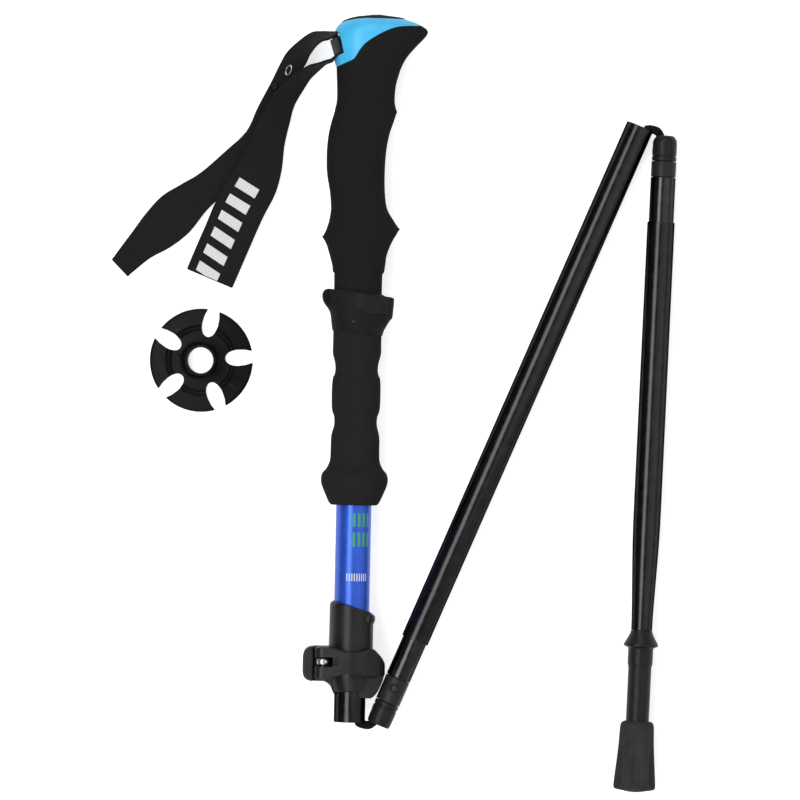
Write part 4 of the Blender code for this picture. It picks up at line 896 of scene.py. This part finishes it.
# Height and reach on the left, height and reach on the right, half depth; the sleeve hugs the
# foam between its two free ends
BAND_ROWS = (
    (199.4, 12.75, 197.2, 12.75, 12.7), (200.4, 12.95, 198.4, 13.05, 12.9),
    (202.0, 13.2, 200.2, 13.7, 13.1), (204.4, 13.5, 202.8, 15.1, 13.4),
    (206.8, 13.8, 205.0, 16.5, 13.6), (208.6, 14.2, 206.3, 17.6, 13.8),
    (210.6, 15.2, 208.0, 17.9, 13.9), (212.4, 16.6, 210.4, 18.1, 14.0),
    (214.4, 17.8, 212.8, 18.3, 14.0), (216.4, 18.3, 215.0, 18.4, 13.9),
    (217.8, 18.3, 216.3, 18.3, 13.8), (219.2, 17.9, 216.9, 17.4, 13.6),
    (220.3, 16.9, 217.2, 15.2, 13.3), (220.7, 15.4, 217.6, 13.4, 13.1),
    (220.3, 13.6, 218.0, 12.9, 12.9), (220.0, 12.9, 218.2, 12.75, 12.75),
)


def make_band():
    """The storage band: a thin sleeve, with a rolled bump on its left and a corner on its right, and painted shade
    on the outer face of the bump.
    """
    rings = []
    ends = ((219.9, 218.1), (199.5, 197.3))
    bore = [(left_z, BAND_BORE, right_z, BAND_BORE, BAND_BORE) for left_z, right_z in ends]
    for left_z, left, right_z, right, depth in (*flow(BAND_ROWS, 2), *bore):
        ring = []
        for turn in turns(GRIP_SIDES):
            across = math.cos(turn)
            reach = right if across > 0 else left
            r = depth + (reach - depth) * abs(across) ** 9
            height = left_z + (right_z - left_z) * (1 + across) / 2
            ring.append((r * across, r * math.sin(turn), height))
        rings.append(ring)
    band = Solid("storage_band_fine", skin(rings, loop=True), HANDLE)
    made = band.piece("black_rubber", "handle", angle=40.0)
    # The outer face of the rolled left end takes the darkest rubber, which is painted shade there.
    made.data.materials.append(LOOKS["dark_rubber_and_painted_shade"].material)
    to_handle = HANDLE.inverted()
    for face in made.data.polygons:
        spot = to_handle @ face.center / MM
        face.material_index = 1 if spot.x < -14.4 and spot.z > 208.0 else 0


def make_flap():
    """The strip's free end, lapped over the front of the band and fixed with a small stud."""
    rows = []
    for degrees in range(267, 341, 3):
        turn = math.radians(degrees)
        side = max(0.0, math.cos(turn))
        out = 14.2 + 3.5 * side**5
        low = 210.4 if degrees < 285 else 208.2
        high = 218.8 - 2.4 * side
        face, back = out + 0.15, out - 0.9
        strip = soften(((face, high), (face, low), (back, low), (back, high)), 0.3)
        rows.append([(r * math.cos(turn), r * math.sin(turn), z) for r, z in strip])
    Solid("band_flap", skin(rows), HANDLE).piece("flap_rubber", "handle", angle=40.0)
    stud_r, turn = 13.4, math.radians(262.0)
    place = facing(HANDLE, stud_r * math.cos(turn), stud_r * math.sin(turn), 204.0)
    stud = ((0.0, 0.7), (0.5, 0.65, 0.2), (0.8, 0.3), (0.8, -0.6), (0.0, -0.6))
    turned("band_stud", stud, place, "dark_steel", "handle", sides=32)


# Clamp

# Where the bolt runs through the ears, and how far in front the lever's pin stands
BOLT_X, BOLT_Z, PIN_FRONT = -14.0, 30.9, 10.2


def make_clamp():
    barrel = (
        (0.0, 62.0), (11.2, 62.0, 2.6), (11.3, 23.4, 1.5), (10.3, 19.6, 1.5), (9.15, 15.6, 0.5),
        (0.0, 15.6),
    )
    ears = ((-9.0, 20.8, 0.0), (-24.3, 20.8, 5.4), (-24.3, 38.6, 5.4), (-9.0, 38.6, 0.0))
    ears = soften(ears, 1.0, steps=6)
    rim = [spot for spot in ears if spot.x < -18.8]
    gusset = [(-16.0, 21.6)]
    for turn in (0.0, 0.3, 0.6, 0.9, 1.2, 1.5):
        gusset.append((-16.0 + 7.6 * math.sin(turn), 13.6 + 7.7 * math.cos(turn)))
    gusset += [(-7.0, 15.6), (-7.0, 22.0)]
    lobe = (
        (1.0, 15.0), (3.4, 12.9, 1.5), (10.9, 12.3, 1.5), (13.8, 15.2, 2.0), (16.1, 20.0, 2.5),
        (17.3, 24.0, 0.6), (1.0, 23.4),
    )
    web = (
        (2.0, 20.0), (15.8, 20.2, 1.0), (17.4, 24.2, 2.5), (17.4, 28.6, 2.5), (15.2, 33.4, 2.0),
        (11.0, 37.4), (2.0, 38.0),
    )
    far, top = 30.0, 90.0
    slant = [(-far, 67.6), (-7.5, 61.5), (8.6, 56.8), (12.0, 54.4), (far, 44.0)]
    slant += [(far, top), (-far, top)]
    clamp = Solid("clamp_body_fine", lathe(soften(barrel, 0.4)), HANDLE)
    clamp.add(
        prism(ears, -5.4, 6.0),
        prism(rim, -9.4, 6.0),
        prism(gusset, -4.6, 4.6),
        ball((8.9, -1.5, 53.0), (3.3, 7.0, 3.9)),
        prism(soften(lobe, 0.5), -7.0, 5.0),
        prism(soften(web, 0.5), -0.5, 4.6),
    )
    clamp.cut(prism(slant, -far, far)).soft_corners(0.36)
    clamp.cut(
        rod(8.3, ORIGIN, (0.0, 0.0, top), 96),
        rod(9.3, (0.0, 0.0, 39.0), (0.0, 0.0, top), 96),
        box_shape((-50.0, -0.6, 0.0), (-6.3, 0.6, 38.8)),
        rod(1.9, (BOLT_X, 20.0, BOLT_Z), (BOLT_X, -20.0, BOLT_Z)),
    )
    clamp.piece("clamp_plastic", "handle", angle=30.0)


def make_bolt():
    """The clamp bolt with its eye round the lever's pin, and its washer and nut behind."""
    place = shifted(HANDLE, BOLT_X, -PIN_FRONT, BOLT_Z)
    half = ((1.6, 2.3), (2.4, 2.3, 0.3), (3.3, 1.5, 0.8))
    eye = (*half, (3.7, 0.0, 0.8), *((r, -z, *size) for r, z, *size in reversed(half)))
    bolt = Solid("clamp_bolt_fine", lathe(soften(eye, 0.2), 48), place)
    bolt.add(rod(1.6, (0.0, 2.8, 0.0), (0.0, 22.1, 0.0))).piece("steel", "handle")
    back = facing(HANDLE, BOLT_X, 0.0, BOLT_Z, -1)
    washer = ((3.4, 7.1), (3.4, 6.3), (1.9, 6.3), (1.9, 7.1))
    turned("clamp_washer_fine", washer, back, "steel", "handle", sides=48, edge=0.15)
    nut = slab(soften(arc(0.0, 0.0, 3.6, 0.0, 300.0, 5), 0.25), 7.4, 10.6, 0.25)
    bore = rod(1.9, ORIGIN, (0.0, 0.0, 20.0))
    Solid("clamp_nut_fine", nut, back).cut(bore).piece("steel", "handle")


def make_lever():
    """The lever, wrapped round the front of the clamp, as its outline both from above and along."""
    line = arc(0.0, 0.0, 11.85, 12.0, 100.0, 24)
    line += arc(BOLT_X, PIN_FRONT, 4.5, -50.0, -218.2, 24)
    line += arc(0.0, 0.0, 15.15, 91.8, -43.8, 20)
    line += [(12.6, 9.2), (14.8, 7.4), (16.4, 5.5), (17.4, 3.6), (17.7, 2.0)]
    line += [(16.2, 1.0), (13.6, 1.7)]
    face = (
        (-19.2, 35.0), (-16.6, 38.3), (-9.0, 38.2), (-2.0, 36.2), (5.0, 36.4), (10.6, 38.0),
        (14.4, 35.0), (16.9, 31.6), (17.9, 28.2), (17.5, 24.0), (9.0, 23.9), (0.0, 25.0),
        (-7.0, 23.6), (-12.0, 22.2), (-16.6, 22.2), (-19.2, 25.4),
    )
    lever = Solid("clamp_lever_fine", slab([(x, -front) for x, front in line], 22.0, 38.8), HANDLE)
    lever.join("INTERSECT", [prism(flow(face, 4, closed=True), -30.0, 30.0)]).soft_corners(0.3)
    lever.cut(
        box_shape((-34.0, -30.0, 28.4), (-9.0, 0.0, 33.4)),
        box_shape((-9.4, -30.0, 29.2), (-6.3, -12.4, 32.8)),
        rod(1.6, (BOLT_X, -PIN_FRONT, 10.0), (BOLT_X, -PIN_FRONT, 50.0)),
    )
    lever.piece("clamp_plastic", "lever", angle=30.0)
    pin = ((0.0, 38.2), (1.3, 38.2, 0.35), (1.3, 23.2, 0.35), (0.0, 23.2))
    place = shifted(HANDLE, BOLT_X, -PIN_FRONT, 0.0)
    turned("lever_pin_fine", pin, place, "steel", "lever", sides=32)


# Folding sections

# Each plug's tip, collar length, foot radius, the side of its slot, and where its tube starts
PLUGS = {
    "middle": (12.2, 13.2, 6.0, -1, 47.0),
    "lower": (12.9, 7.8, 4.6, 1, 44.2),
}


def make_plug(body, place):
    """The plug's slotted tip, its grey collar and the ferrule behind it."""
    tip, collar, foot_r, slot_side, tube_start = PLUGS[body]
    bore, spigot_r, spigot = 2.8, 4.2, tip + 4.6
    groove = PLUG_R - 0.35
    profile = (
        (spigot_r, spigot),
        (spigot_r, tip, 0.0),
        (PLUG_R, tip, 0.35),
        (PLUG_R, tip - 2.0, 0.15),
        (groove, tip - 2.2, 0.1),
        (groove, tip - 2.8, 0.1),
        (PLUG_R, tip - 3.0, 0.15),
        (PLUG_R, 2.6, 1.2),
        (foot_r, 0.0, 0.8),
        (bore, 0.0, 0.3),
        (bore, spigot),
    )
    near, far = sorted((0.0, slot_side * 20.0))
    plug = Solid(body + "_plug_fine", lathe(soften(profile, 0.2)), place)
    plug.cut(box_shape((near, -1.6, -20.0), (far, 1.6, 6.5))).piece("black_plastic", body)
    foot = tip + CLEAR
    head = foot + collar
    neck = FERRULE_R - 0.8 - CLEAR
    profile = (
        (neck, head + 7.0),
        (neck, head),
        (FERRULE_R + 0.01, head, 0.3),
        (FERRULE_R + 0.01, foot, 0.4),
        (spigot_r + CLEAR, foot),
        (spigot_r + CLEAR, spigot + CLEAR),
        (bore, spigot + CLEAR),
        (bore, head + 7.0),
    )
    ring = Solid(body + "_collar_fine", lathe(soften(profile, 0.2)), place)
    if body == "middle":
        ring.cut(rod(BUTTON_HOLE_R, (0.0, -3.25, BUTTON_HEIGHT), (0.0, -20.0, BUTTON_HEIGHT), 40))
    ring.piece("grey_plastic", body)
    ferrule = pipe(FERRULE_R, FERRULE_R - 0.8, head + CLEAR, tube_start + 28.0)
    Solid(body + "_ferrule_fine", ferrule, place).piece("ferrule_metal", body)


def make_middle():
    make_plug("middle", MIDDLE)
    Solid("middle_tube_fine", pipe(*MIDDLE_TUBE, 0.3), MIDDLE).piece("black_metal", "middle")
    proud, length = 1.6, 2.4
    place = facing(MIDDLE, 0.0, length - proud - PLUG_R, BUTTON_HEIGHT)
    button = ((0.0, length), (0.9, 2.35, 0.4), (1.9, 1.5, 0.9), (1.9, 0.0, 0.2), (0.0, 0.0))
    turned("lock_button_fine", button, place, "dark_steel", "button", sides=40)
    floor, start, height, coil_r, steps = -3.3, -3.57, 1.41, 1.4, 60
    coil = []
    for i in range(steps + 1):
        turn = 6 * math.pi * i / steps
        at = start - height * i / steps
        coil.append((coil_r * math.sin(turn), at, BUTTON_HEIGHT + coil_r * math.cos(turn)))
    spring = Solid("button_spring_fine", sweep(coil, 0.2, 10), MIDDLE).piece("steel", "middle")
    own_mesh(spring)


def make_lower():
    """The lower tube, which narrows to its end, the holder with its flange, and the tip."""
    make_plug("lower", LOWER)
    tube_r, end_r, end_bore = 7.0, 5.4, 4.75
    tube = (
        (end_r, 252.4),
        (end_r, 246.0, 8.0),
        (tube_r, 204.0, 12.0),
        (tube_r, 44.2, 0.3),
        (MAIN_BORE, 44.2, 0.2),
        (MAIN_BORE, 204.0),
        (end_bore, 246.0),
        (end_bore, 252.4),
    )
    turned("lower_tube_fine", tube, LOWER, "black_metal", "lower")
    holder = (
        (0.0, 309.0), (2.5, 309.0), (2.5, 318.0), (4.9, 318.0, 0.5), (5.9, 314.0, 1.0),
        (5.9, 271.2, 1.0), (6.4, 269.6, 0.6), (6.4, 261.6, 0.6), (7.4, 261.0, 0.4),
        (8.8, 260.5, 0.2), (8.7, 259.4, 0.3), (7.2, 256.8, 2.0), (5.7, 253.9, 1.0),
        (5.5, 252.6, 0.2), (4.45, 252.6), (4.45, 231.9), (0.0, 231.9),
    )
    turned("tip_holder_fine", holder, LOWER, "black_plastic", "lower", edge=0.25)
    spike = ((0.0, 326.0), (0.9, 326.0, 0.3), (2.2, 323.0, 0.4), (2.2, 309.3), (0.0, 309.3))
    turned("carbide_tip_fine", spike, LOWER, "steel", "lower", sides=48)


RIBS = 6


def boot_ring(z, radius, depth, scallop=0.0):
    """A ring with ribs, one of them facing up; the sole stands lower at the ribs."""
    out = []
    for turn in turns(RIBS * 20):
        wave = 0.5 - 0.5 * math.cos(RIBS * turn + math.pi)
        r = radius - depth * (1.0 - wave) ** 1.5
        out.append((r * math.cos(turn), r * math.sin(turn), z + scallop * wave))
    return out


def make_boot():
    """The rubber boot, with ribs that swell towards a scalloped sole."""
    outer = (
        (298.9, 6.7, 0.0, 0.0), (299.2, 7.4, 0.0, 0.0), (300.0, 8.2, 0.1, 0.0),
        (301.4, 8.6, 0.2, 0.0), (304.6, 8.8, 0.35, 0.0), (310.0, 9.0, 0.7, 0.0),
        (318.0, 9.6, 1.7, 0.0), (325.0, 10.2, 2.4, 0.0), (329.5, 10.6, 2.5, 0.3),
        (331.4, 10.7, 2.2, 0.9), (332.4, 10.2, 1.4, 1.0), (333.0, 9.0, 1.0, 0.9),
        (334.1, 6.0, 0.4, 0.3), (334.9, 3.0, 0.0, 0.0),
    )
    rows = [boot_ring(*row) for row in flow(outer, 3)]
    boot = Solid("tip_boot_fine", skin([*rows, boot_ring(335.1, 0.4, 0.0)]), LOWER)
    well = ((0.0, 290.0), (6.2, 290.0), (6.2, 318.3), (2.5, 318.3), (2.5, 327.0), (0.0, 327.0))
    boot.cut(lathe(well)).piece("boot_rubber", "boot", angle=45.0)


# Strap

# Each row is x, height over the grip's top and lift over the ground, for one edge and the other.
# The front run leaves the wedge's foot and ends in the front tail.
FRONT_RUN = (
    (-16.2, 4.3, 22.4, -16.0, 4.0, 8.2), (-19.3, 3.4, 22.0, -19.0, 2.8, 7.8),
    (-22.6, 2.3, 21.2, -21.0, 1.0, 7.0), (-27.0, 1.3, 19.6, -24.0, -1.9, 5.6),
    (-31.8, -1.4, 17.0, -27.0, -5.0, 4.0), (-38.5, -7.0, 13.8, -30.2, -10.2, 2.8),
    (-46.0, -14.3, 10.8, -34.6, -18.3, 2.4), (-50.2, -22.2, 8.6, -36.9, -27.3, 2.3),
    (-55.0, -33.2, 6.8, -39.4, -39.2, 2.3), (-60.2, -44.1, 5.8, -40.6, -52.0, 2.8),
    (-66.8, -55.5, 5.2, -43.6, -64.0, 3.6), (-73.6, -67.4, 4.8, -49.6, -76.3, 4.0),
    (-79.0, -80.6, 4.2, -55.5, -90.3, 4.0), (-83.4, -91.1, 3.4, -59.8, -100.8, 3.4),
    (-87.8, -102.0, 2.6, -64.2, -111.4, 2.6),
)
# The back run leaves the wedge's top and passes under the front run
BACK_RUN = (
    (-13.8, 18.95, 10.0, -13.0, 17.7, 24.0), (-17.2, 19.0, 9.4, -17.2, 14.6, 23.8),
    (-21.5, 19.1, 9.0, -20.9, 13.6, 22.0), (-26.6, 18.5, 9.2, -24.4, 10.6, 20.0),
    (-33.5, 13.8, 8.0, -27.0, 7.0, 16.0), (-39.2, 8.4, 5.8, -28.9, 2.8, 12.0),
    (-42.7, 2.2, 4.2, -30.8, -0.6, 9.0), (-46.2, -5.3, 3.2, -34.0, -8.4, 4.4),
    (-50.4, -13.5, 2.7, -38.0, -17.9, 2.3), (-53.9, -20.5, 2.4, -41.4, -26.6, 1.8),
    (-59.2, -32.2, 2.2, -46.0, -39.6, 1.6), (-69.0, -41.9, 2.1, -54.0, -51.8, 1.6),
    (-82.2, -53.8, 2.1, -67.0, -62.0, 1.8), (-92.0, -59.9, 2.2, -78.2, -72.6, 2.2),
    (-102.0, -66.3, 2.3, -87.4, -84.6, 2.3), (-110.2, -75.6, 2.3, -97.0, -92.4, 2.3),
    (-117.0, -85.2, 2.3, -107.4, -98.3, 2.3), (-126.2, -98.1, 2.3, -117.6, -106.9, 2.3),
)
WEBBING = 1.2
# How far the webbing's turned hem lies under its end
HEM_DROP = 1.6


def ground_height(x, y):
    """The ground's height in the pole's own plane at x, y, in millimetres."""
    spot = POLE @ (Vector((x, y, 0.0)) * MM)
    return -spot.z / POLE_UP.z / MM


def strap_rows(run):
    """The middle, the direction across and the half width of the webbing at each row."""
    rows = []
    for row in run:
        edges = []
        for x, y, lift in (row[:3], row[3:]):
            edges.append(Vector((x, y + GRIP_TOP, ground_height(x, y + GRIP_TOP) + lift)))
        gap = edges[0] - edges[1]
        rows.append(((edges[0] + edges[1]) / 2, gap.normalized(), gap.length / 2))
    return rows


def hem_rows(rows, count):
    """A hairpin at the end of a run and the webbing back underneath it."""
    centre, side, half = rows[-1]
    along = (centre - rows[-2][0]).normalized()
    radius = HEM_DROP / 2
    out = []
    for i in range(1, 6):
        turn = math.pi * i / 6
        drop = radius * (1 - math.cos(turn)) * UPRIGHT
        out.append((centre + along * radius * math.sin(turn) * 1.1 - drop, side, half))
    for spot, across, wide in rows[-1 : -1 - count : -1]:
        out.append((spot - HEM_DROP * UPRIGHT, across, wide - 0.3))
    return out


def wedge_wrap():
    """The webbing round the wedge's top, inner side and foot, edge-on in the head's notch."""
    top_out, top_in, foot_in, foot_out = raised(WEDGE)
    off = WEBBING / 2 + 0.1
    spots = (
        (top_out[0] + 1.2, top_out[1] + off + 0.5),
        (top_in[0] - 0.3, top_in[1] + off),
        (top_in[0] + off, top_in[1] - 0.3),
        (foot_in[0] + off, foot_in[1] + 0.3),
        (foot_in[0] + off * 0.2, foot_in[1] - off),
        (foot_out[0], foot_out[1] - off),
    )
    return [(Vector((x, y, 0.0)), UPRIGHT, 7.2) for x, y in spots]


def webbing_section(half):
    """The webbing's section: flat faces in steps across and rounded selvedges."""
    thick, steps = WEBBING / 2, 12
    side = [(-half + thick + 2 * (half - thick) * i / steps, thick) for i in range(steps + 1)]
    side += [(half - thick * 0.3, thick * 0.7), (half, 0.0), (half - thick * 0.3, -thick * 0.7)]
    return side + [(-u, -v) for u, v in side]


def ribbon(rows, steps):
    """Webbing with rounded edges along smoothed rows of centre, way across and half width."""
    lines = flow([(*centre, *side, half) for centre, side, half in rows], steps)
    centres = [Vector(line[:3]) for line in lines]
    rings = []
    for i, line in enumerate(lines):
        side = Vector(line[3:6]).normalized()
        up = side.cross(tangent(centres, i)).normalized()
        rings.append([centres[i] + side * u + up * v for u, v in webbing_section(line[6])])
    return skin(rings, around=2 * (2 * max(line[6] for line in lines) + WEBBING))


def make_web(name, rows, look, node):
    """Webbing laid along its rows, from its root in the head's notch to its tail."""
    made = Solid(name, ribbon(rows, 4), POLE).finish(look, node, 50.0)
    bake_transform(made)


def on_webbing(before, after, along, across):
    """A place on the webbing's face between two rows, its Z out of the face and its Y along it."""
    edges = []
    for centre, side, half in (before, after):
        edges.append((centre + side * half).lerp(centre - side * half, across))
    run = (edges[1] - edges[0]).normalized()
    up = before[1].cross(run).normalized()
    spot = edges[0].lerp(edges[1], along) + up * (WEBBING / 2)
    return POLE @ frame_at(spot * MM, run.cross(up), run, up)


def make_strap():
    """Both runs of webbing, and the rivet and the small oval eyelet in their seam."""
    back, front = strap_rows(BACK_RUN), strap_rows(FRONT_RUN)
    rows = back + hem_rows(back, 5)
    make_web("strap_back_web", rows, "webbing", "strap_back")
    rows = wedge_wrap() + front + hem_rows(front, 4)
    make_web("strap_front_web", rows, "webbing_front", "strap_front")
    rivet = ((0.0, 0.42), (1.5, 0.38, 0.6), (2.3, 0.15, 0.5), (2.5, -0.1), (0.0, -0.1))
    place = on_webbing(back[7], back[8], 0.35, 0.2)
    turned("strap_rivet_fine", rivet, place, "basket_plastic", "strap", sides=40)
    eyelet = ((1.35, -0.1), (2.0, -0.1), (2.05, 0.3, 0.3), (1.7, 0.55, 0.3), (1.35, 0.25, 0.2))
    place = on_webbing(back[6], back[7], 0.2, 0.48) @ Matrix.Diagonal((0.8, 1.55, 1.0, 1.0))
    turned("strap_clip", eyelet, place, "steel", "strap", sides=48, edge=0.1)


def make_wedge():
    wedge = Solid("strap_wedge_fine", prism(soften(raised(WEDGE), 0.5), -7.2, 7.2), HANDLE)
    limit = math.radians(50.0)
    wedge.modify("BEVEL", width=0.35 * MM, segments=3, limit_method="ANGLE", angle_limit=limit)
    wedge.settle().piece("wedge_plastic", "wedge")


# Basket


def petal():
    """A petal-shaped slot along +X, rounded at its inner end and narrower at the rim."""
    start, rim, half_width = 12.4, 26.5, 4.15
    upper = []
    for i in range(17):
        turn = math.pi / 2 * i / 16
        x = start + 0.5 * (rim - start) * (1 - math.cos(turn))
        upper.append((x, half_width * math.sin(turn) ** 0.9))
    upper += [(rim - 3.6, 3.9), (rim - 1.4, 3.3), (rim + 3.0, 2.5)]
    return upper + [(x, -y) for x, y in reversed(upper[1:])]


def make_basket():
    profile = (
        (8.1, 7.5, 0.5), (8.7, 4.3, 0.6), (10.4, 3.3, 0.8), (15.3, 2.9, 0.5), (16.2, 3.9, 0.6),
        (17.0, 3.9, 0.6), (18.2, 2.4, 0.6), (25.4, 1.9, 0.8), (26.5, 1.4, 0.6),
        (26.5, 0.0, 0.3), (6.7, 0.0, 0.3), (6.7, 7.5, 0.4),
    )
    disc = Solid("basket_fine", lathe(soften(profile, 0.3, steps=4), 160), BASKET)
    for k in range(5):
        slot = slab(petal(), -5.0, 12.0)
        slot.transform(Matrix.Rotation(math.radians(77.0 + 72.0 * k), 4, "Z"))
        disc.cut(slot)
    rib = rod(0.5, (-12.2, 3.5, 2.9), (-8.0, -0.9, 3.6), 24)
    disc.add(rib).piece("basket_plastic", "basket", angle=35.0)


# Cable bends

# How far beside its section's middle a spot is set for each half of the cable's bend
UNFOLDED_TO = (-0.9, 2.5)
# How much the far half's slant leans off square to its section
FAR_SLANT = 0.4


def make_sheath(names, route, bodies):
    """A short sleeve round the cable where it crosses between sections, in a half for each."""
    points = flow(route[1:-1], 8)[6:-8]
    radii = []
    for i in range(len(points)):
        share = i / (len(points) - 1)
        swell = 0.75 * math.sin(math.pi * share) ** 0.6
        radii.append(1.45 + swell + 0.08 * math.sin(14 * math.pi * share))
    outside = wire_rings(points, radii, 28)
    inside = wire_rings(points, [1.15] * len(points), 28)
    halves = []
    for name, body, part in zip(names, bodies, (slice(0, 7), slice(6, None))):
        half = Solid(name, skin(outside[part] + inside[part][::-1], loop=True), POLE)
        halves.append(half.piece("dark_rubber_and_painted_shade", body, angle=50.0))
    return halves


def make_link(letter, bodies, near, far):
    """The cable's bend, in two halves that ride on their sections.

    Near is the mouth that the cable leaves, the way out of it, the side it bends to and how far.
    Far is the plug's foot that it enters, the way in and the side it comes from.
    """
    mouth, out, side, radius = near
    foot, along, beside = far
    route = (
        mouth - 6.0 * out,
        mouth - 2.6 * out + 0.7 * side,
        mouth + 0.5 * out + (radius - 3.4) * side,
        mouth + 1.3 * out + (radius + 0.4) * side,
        foot - 1.6 * along + 3.6 * beside,
        foot + 1.1 * along + 1.6 * beside,
        foot + 4.0 * along,
        foot + 5.5 * along,
    )
    points = flow(route, 6)
    names = ["link_sheath_%s_%s" % (letter, end) for end in ("near", "far")]
    sheaths = make_sheath(names, route, bodies)
    leaning = (beside - FAR_SLANT * along).normalized()
    halves = (
        ("fine", points[:16], mouth + UNFOLDED_TO[0] * side, side),
        ("far", points[15:], foot + UNFOLDED_TO[1] * beside, leaning),
    )
    for (end, line, spot, slant), body, sheath in zip(halves, bodies, sheaths):
        cable = Solid("link_cable_%s_%s" % (letter, end), sweep(line, 1.1), POLE)
        for soft in (cable.piece("cable", body), sheath):
            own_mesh(soft)


def make_links():
    middle_way, middle_across = heading(MIDDLE_HEADING)
    lower_way, lower_across = heading(LOWER_HEADING)
    down = Vector((0.0, -1.0, 0.0))
    mouth = MIDDLE_START + MIDDLE_TUBE[3] * middle_way
    near, far = (ORIGIN, down, RIGHT, INNER_TUBE[0]), (MIDDLE_START, middle_way, -middle_across)
    make_link("a", ("inner", "middle"), near, far)
    near, far = (mouth, middle_way, middle_across, MAIN_R), (LOWER_START, lower_way, lower_across)
    make_link("b", ("middle", "lower"), near, far)


# Assembly


def dress_nodes():
    """Gives each CAD node that still shows the fine material of its slot."""
    slots = {row["node"]: row["material_slot"] for row in frame["record"]["subparts"]}
    for name, node in frame["nodes"].items():
        if not node.hide_render:
            node.data.materials.clear()
            node.data.materials.append(LOOKS[slots[name]].material)


for make in (make_camera, make_stage, make_world, make_lights):
    make()
LOOKS = {look.name: look for look in make_looks()}
for make in (
    make_tubes,
    make_lower_grip,
    make_upper_grip,
    make_head,
    make_pad,
    make_band,
    make_flap,
    make_clamp,
    make_bolt,
    make_lever,
    make_middle,
    make_lower,
    make_boot,
    make_strap,
    make_wedge,
    make_basket,
    make_links,
    dress_nodes,
):
    make()
bpy.context.scene.view_settings.view_transform = "Standard"
